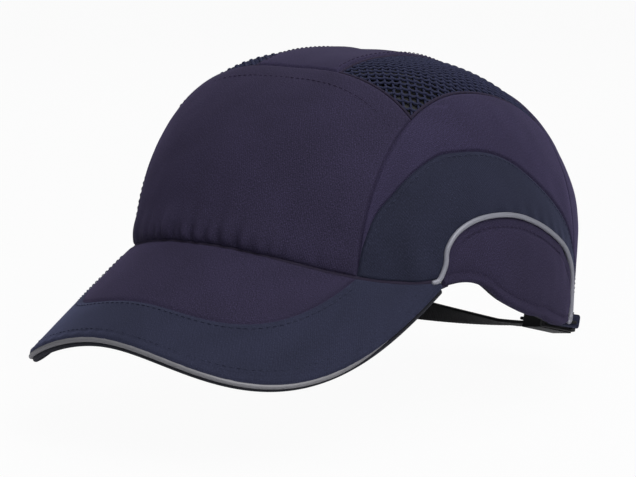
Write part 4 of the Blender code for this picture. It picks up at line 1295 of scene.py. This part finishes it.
def crown_pad():
    """Oval pad with a domed top and a flat underside, its rim eased."""
    around, rings = 64, 14
    half_width, half_length = 29.6, 33.6
    middle_y, under_z = DATUM[1], DATUM[2] + 0.1
    below_dome = np.array([0, 0, 6.0])
    radius = np.repeat(np.arange(1, rings + 1) / rings, around)
    angle = np.tile(2 * math.pi * np.arange(around) / around, rings)
    x = half_width * radius * np.cos(angle)
    y = middle_y + half_length * radius * np.sin(angle)
    rim = smooth(radius, 0.86, 1.0)
    top = dome_above(x, y) - below_dome
    top[:, 2] -= 1.4 * rim
    verts = np.vstack([top, dome_above(0.0, middle_y) - below_dome,
                       np.column_stack([x, y, under_z + 1.3 * rim]), [0, middle_y, under_z]])
    top_centre = rings * around
    bottom = top_centre + 1
    bottom_centre = bottom + rings * around
    faces = []
    for j in range(rings - 1):
        for i in range(around):
            k = (i + 1) % around
            here, following = j * around, (j + 1) * around
            faces.append((here + i, following + i, following + k, here + k))
            faces.append((bottom + here + k, bottom + following + k, bottom + following + i,
                          bottom + here + i))
    last = (rings - 1) * around
    for i in range(around):
        k = (i + 1) % around
        faces.append((top_centre, i, k))
        faces.append((bottom_centre, bottom + k, bottom + i))
        faces.append((last + i, bottom + last + i, bottom + last + k, last + k))
    make("crown_pad_foam", verts, faces, foam, "crown_pad")


sweatband()
foam_pad("front_pad_foam", "front_pad",
         [(-34, -92, 77), (34, -92, 77), (30, -60, 103), (-30, -60, 103)], 24)
foam_pad("rear_pad_foam", "rear_pad",
         [(-28, 92, 58), (28, 92, 58), (24, 70, 86), (-24, 70, 86)], 20)
for side, mirrored in SIDES:
    foam_pad(f"side_pad_foam_{side}", f"side_pad_{side}",
             [(80, -38, 62), (79, 22, 60), (66, 18, 92), (68, -36, 92)], 20, mirrored)
crown_pad()

# =============================================================================
# rear strap; angles run from the rear middle, positive to the left
# =============================================================================
SIDE = np.array([math.cos(STRAP_ROLL), 0.0, math.sin(STRAP_ROLL)])
REAR = np.array([0.0, math.cos(STRAP_FALL), -math.sin(STRAP_FALL)])
REAR = unit(REAR - REAR.dot(SIDE) * SIDE)
AXIS = np.cross(SIDE, REAR)


def strap_frame(angle):
    """Centre, width direction and thickness direction of the strap at an angle in radians."""
    radial = math.cos(angle) * REAR + math.sin(angle) * SIDE
    upright = min(1.0, max(0.0, (-math.degrees(angle) - 5.0) / 53.0))
    lean = STRAP_LEAN + (STRAP_LEAN_R - STRAP_LEAN) * upright
    return (STRAP_O + STRAP_R * radial,
            math.cos(lean) * AXIS - math.sin(lean) * radial,
            math.sin(lean) * AXIS + math.cos(lean) * radial)


def around_strap(width, thick, top=HALF_T):
    """Rectangle (w0, w1, n0, n1) that clears the strap, up to top, by two margins."""
    return (-HALF_W - width, HALF_W + width, -HALF_T - thick, top + thick)


def rounded_section(rect, radius):
    """Rounded rectangle across the strap, with extra points on its long sides."""
    w0, w1, n0, n1 = rect
    left, right, low, high = w0 + radius, w1 - radius, n0 + radius, n1 - radius
    corner_steps, side_steps = 4, 6
    points = []
    for x, y, turn, side_end in ((right, high, 0, left), (left, high, 90, None),
                                 (left, low, 180, right), (right, low, 270, None)):
        for k in range(corner_steps + 1):
            angle = math.radians(turn + 90 * k / corner_steps)
            points.append((x + radius * math.cos(angle), y + radius * math.sin(angle)))
        if side_end is not None:
            x_start, y_side = points[-1]
            points += [(x_start + (side_end - x_start) * k / side_steps, y_side)
                       for k in range(1, side_steps)]
    return points


def strap_piece(name, start, end, rect, material, replaces=None, body="cap", hole=None,
                steps=None, rib=0.0, corner=0.45):
    """A length of strap or a loop round it (with a hole), between two angles."""
    steps = steps or max(12, int(abs(end - start) * 3.2))
    section = rounded_section(rect, corner)
    opening_section = rounded_section(hole, 0.3) if hole else []
    middle_w, middle_n = (rect[0] + rect[1]) / 2, (rect[2] + rect[3]) / 2
    verts, uv = [], []
    for i, angle in enumerate(np.radians(np.linspace(start, end, steps + 1))):
        centre, wide, out = strap_frame(angle)
        pinch = 0.45 if i in (0, steps) and not hole else 0.0
        swell = 1 + rib * math.cos(angle * STRAP_R / 0.75 * math.pi)
        for points, shrink in ((section, pinch), (opening_section, 0.0)):
            for x, y in points:
                across = middle_w + (x - middle_w) * (1 - shrink * 0.12)
                height = middle_n + (y - middle_n) * swell * (1 - shrink)
                verts.append(centre + wide * across + out * height)
                uv.append((angle * STRAP_R, x + y))
    size = len(section)
    if not hole:
        faces = loft_faces(steps + 1, size)
    else:
        faces = []
        for i in range(steps):
            here, following = i * 2 * size, (i + 1) * 2 * size
            for j in range(size):
                k = (j + 1) % size
                faces.append((here + j, here + k, following + k, following + j))
                faces.append((here + size + k, here + size + j, following + size + j,
                              following + size + k))
        last = steps * 2 * size
        for j in range(size):
            k = (j + 1) % size
            faces.append((j, j + size, k + size, k))
            faces.append((last + k, last + k + size, last + j + size, last + j))
    make(name, verts, faces, material, replaces, uv, body)


# half width and half thickness round a tab's section
TAB_SECTION = [(-6.2, 0.0), (-5.7, 0.55), (-2.0, 0.62), (2.0, 0.62), (5.7, 0.55), (6.2, 0.0),
               (5.7, -0.55), (2.0, -0.62), (-2.0, -0.62), (-5.7, -0.55)]


def strap_tab(name, angle, offset, target):
    """A strip of cloth from a strap anchor up to the inside of the rear panel."""
    angle = math.radians(angle)
    centre, _, out = strap_frame(angle)
    tangent = math.cos(angle) * SIDE - math.sin(angle) * REAR
    goal = snap(np.array([target]))[0]
    goal_out = normal(goal[None])[0]
    goal = goal - goal_out * 4.0
    start = centre + out * offset
    middle = 0.5 * (start + goal) - goal_out * 1.5
    t = even(22)[:, None]
    path = (1 - t) ** 2 * start + 2 * t * (1 - t) * middle + t ** 2 * goal
    goal_wide = unit(np.cross(goal_out, goal - start))
    if goal_wide.dot(tangent) < 0:
        goal_wide = -goal_wide
    wide = unit((1 - t) * tangent + t * goal_wide)
    thick = unit(np.cross(np.gradient(path, axis=0), wide))
    verts = [path[i] + wide[i] * x + thick[i] * y
             for i in range(len(path)) for x, y in TAB_SECTION]
    uv = [(i * 1.0, x) for i in range(len(path)) for x, _ in TAB_SECTION]
    make(name, verts, loft_faces(len(path), len(TAB_SECTION)), navy, replaces=None, uv=uv)


WEB_RIB = 0.07 * 0.6     # thickness ripple of the webbing, as a share
strap_piece("strap_long_web", -60, 15.0, around_strap(0, 0), webbing, "strap_long", rib=WEB_RIB)
strap_piece("strap_short_web", 19.0, 60, around_strap(0, 0), webbing, "strap_short",
            rib=WEB_RIB)
strap_piece("strap_tail_web", 10.0, 41.0, (-HALF_W, HALF_W, TAIL_LOW, TAIL_TOP), webbing,
            "strap_tail", body="tail", rib=WEB_RIB)
strap_piece("tail_keeper_loop", 36.0, 40.0, around_strap(1.7, 1.5, TAIL_TOP), webbing,
            "tail_keeper", body="keeper", hole=around_strap(0.6, 0.5, TAIL_TOP), steps=14)
strap_piece("strap_anchor_cloth_right", -64, -52, around_strap(1.7, 1.7), navy,
            "strap_anchor_right", hole=around_strap(0.5, 0.5), steps=30, corner=0.9)
strap_piece("strap_anchor_end_left", 58.3, 59.4, around_strap(0.5, 0.5, TAIL_TOP), navy, steps=6)
strap_piece("strap_anchor_cloth_left", 51.5, 59.2, around_strap(1.0, 1.1, TAIL_TOP), navy,
            "strap_anchor_left", hole=around_strap(0.5, 0.5, TAIL_TOP), steps=30, corner=0.9)
strap_tab("strap_tab_cloth_left", 56.0, 3.4, (66.0, 68.0, 12.0))
strap_tab("strap_tab_cloth_right", -58.0, 2.0, (-66.0, 70.0, 12.0))

for node, material in (("buckle_frame", buckle_steel), ("buckle_lever", buckle_steel),
                       ("buckle_pin", pin_steel)):
    ob = set_material(node, material)
    weld = ob.modifiers.new("weld", "WELD")
    weld.merge_threshold = 0.00001
    bevel = ob.modifiers.new("soft_edges", "BEVEL")
    bevel.width = 0.0003
    bevel.segments = 2
    bevel.limit_method = "ANGLE"
    bevel.angle_limit = math.radians(40)

# =============================================================================
# studio, in metres
# =============================================================================
scene = bpy.context.scene
scene.view_settings.view_transform = "Standard"


def studio_world():
    """Dim light on the product, plain white to the camera."""
    world = bpy.data.worlds.new("studio")
    scene.world = world
    world.use_nodes = True
    nodes, links = world.node_tree.nodes, world.node_tree.links
    ambient = nodes["Background"]
    light_path = nodes.new("ShaderNodeLightPath")
    backdrop = nodes.new("ShaderNodeBackground")
    mix = nodes.new("ShaderNodeMixShader")
    for background, colour, strength in ((ambient, (0.93, 0.95, 1.0, 1), 0.14),
                                         (backdrop, (1, 1, 1, 1), 1.0)):
        background.inputs["Color"].default_value = colour
        background.inputs["Strength"].default_value = strength
    links.new(light_path.outputs["Is Camera Ray"], mix.inputs[0])
    links.new(ambient.outputs[0], mix.inputs[1])
    links.new(backdrop.outputs[0], mix.inputs[2])
    links.new(mix.outputs[0], nodes["World Output"].inputs[0])


def floor_material():
    """Pale floor that glows nearly white to the camera."""
    shader = Shader("floor_pale")
    shader.surface({"Base Color": (0.72, 0.72, 0.74, 1), "Roughness": 0.9})
    matt = shader.principled.outputs[0]
    glow = shader.node("ShaderNodeEmission", {"Strength": 1.0}).outputs[0]
    camera_ray = shader.node("ShaderNodeLightPath").outputs["Is Camera Ray"]
    top = shader.node("ShaderNodeMixShader", {0: camera_ray, 1: matt})
    pale = shader.node("ShaderNodeMixShader", {0: 0.955, 1: matt, 2: glow})
    shader.feed(top.inputs[2], pale.outputs[0])
    # from below the floor is clear, so the inside of the cap can be seen
    below = shader.node("ShaderNodeNewGeometry").outputs["Backfacing"]
    clear = shader.node("ShaderNodeBsdfTransparent").outputs[0]
    both = shader.node("ShaderNodeMixShader", {0: below, 1: top.outputs[0], 2: clear})
    shader.feed(shader.tree.nodes["Material Output"].inputs[0], both.outputs[0])
    return shader.material


def studio_floor():
    mesh = bpy.data.meshes.new("floor")
    mesh.from_pydata([(-3, -3, 0), (3, -3, 0), (3, 3, 0), (-3, 3, 0)], [], [(0, 1, 2, 3)])
    floor = bpy.data.objects.new("floor", mesh)
    floor.location = (0, 0, lo_cad[2] - 0.012)
    scene.collection.objects.link(floor)
    mesh.materials.append(floor_material())


def direction_from(azimuth, elevation):
    """Unit vector; azimuth 0 is the front, 90 the wearer's left."""
    turn, tilt = math.radians(azimuth), math.radians(elevation)
    return Vector((math.sin(turn) * math.cos(tilt), -math.cos(turn) * math.cos(tilt),
                   math.sin(tilt)))


def place(name, data, location, look):
    """Add a light or camera that looks along a vector."""
    ob = bpy.data.objects.new(name, data)
    ob.location = location
    ob.rotation_mode = "QUATERNION"
    ob.rotation_quaternion = look.to_track_quat("-Z", "Y")
    scene.collection.objects.link(ob)
    return ob


# name, azimuth, elevation, distance, size, power
LIGHTS = (("key", 66, 43, 1.3, 0.7, 8.5),
          ("fill", 36, 25, 1.6, 1.0, 1.2),
          ("top", 66, 80, 1.3, 0.8, 4.2),
          ("back", 215, 35, 1.5, 1.0, 3.2))


def studio_lights():
    centre = Vector((0, 0, 0.05)) - Vector(DATUM * MM)
    for name, azimuth, elevation, distance, size, power in LIGHTS:
        light = bpy.data.lights.new(name, "AREA")
        light.energy = power
        light.size = size
        toward = direction_from(azimuth, elevation)
        place(name, light, centre + toward * distance, -toward)


CAMERA_AZIMUTH, CAMERA_ELEVATION, CAMERA_DISTANCE = 39.9, 9.9, 1.2
VIEW_WIDTH = 0.2672268908                    # seen across the picture at the dome centre
AIM_RIGHT, AIM_UP = -9.8655462, 21.1134454   # aim point from the dome centre, millimetres


def studio_camera():
    back = direction_from(CAMERA_AZIMUTH, CAMERA_ELEVATION)
    turn = math.radians(CAMERA_AZIMUTH)
    right = Vector((math.cos(turn), math.sin(turn), 0))
    up = right.cross(-back)
    centre = Vector((np.array([0, DOME_Y, DOME_Z]) - DATUM) * MM)
    target = centre + right * (AIM_RIGHT * MM) + up * (AIM_UP * MM)
    camera = bpy.data.cameras.new("camera")
    camera.sensor_width = 36
    camera.lens = 36 * CAMERA_DISTANCE / VIEW_WIDTH
    camera.clip_start = 0.05
    camera.clip_end = 20
    location = centre + back * CAMERA_DISTANCE
    scene.camera = place("camera", camera, location, target - location)


studio_world()
studio_floor()
studio_lights()
studio_camera()
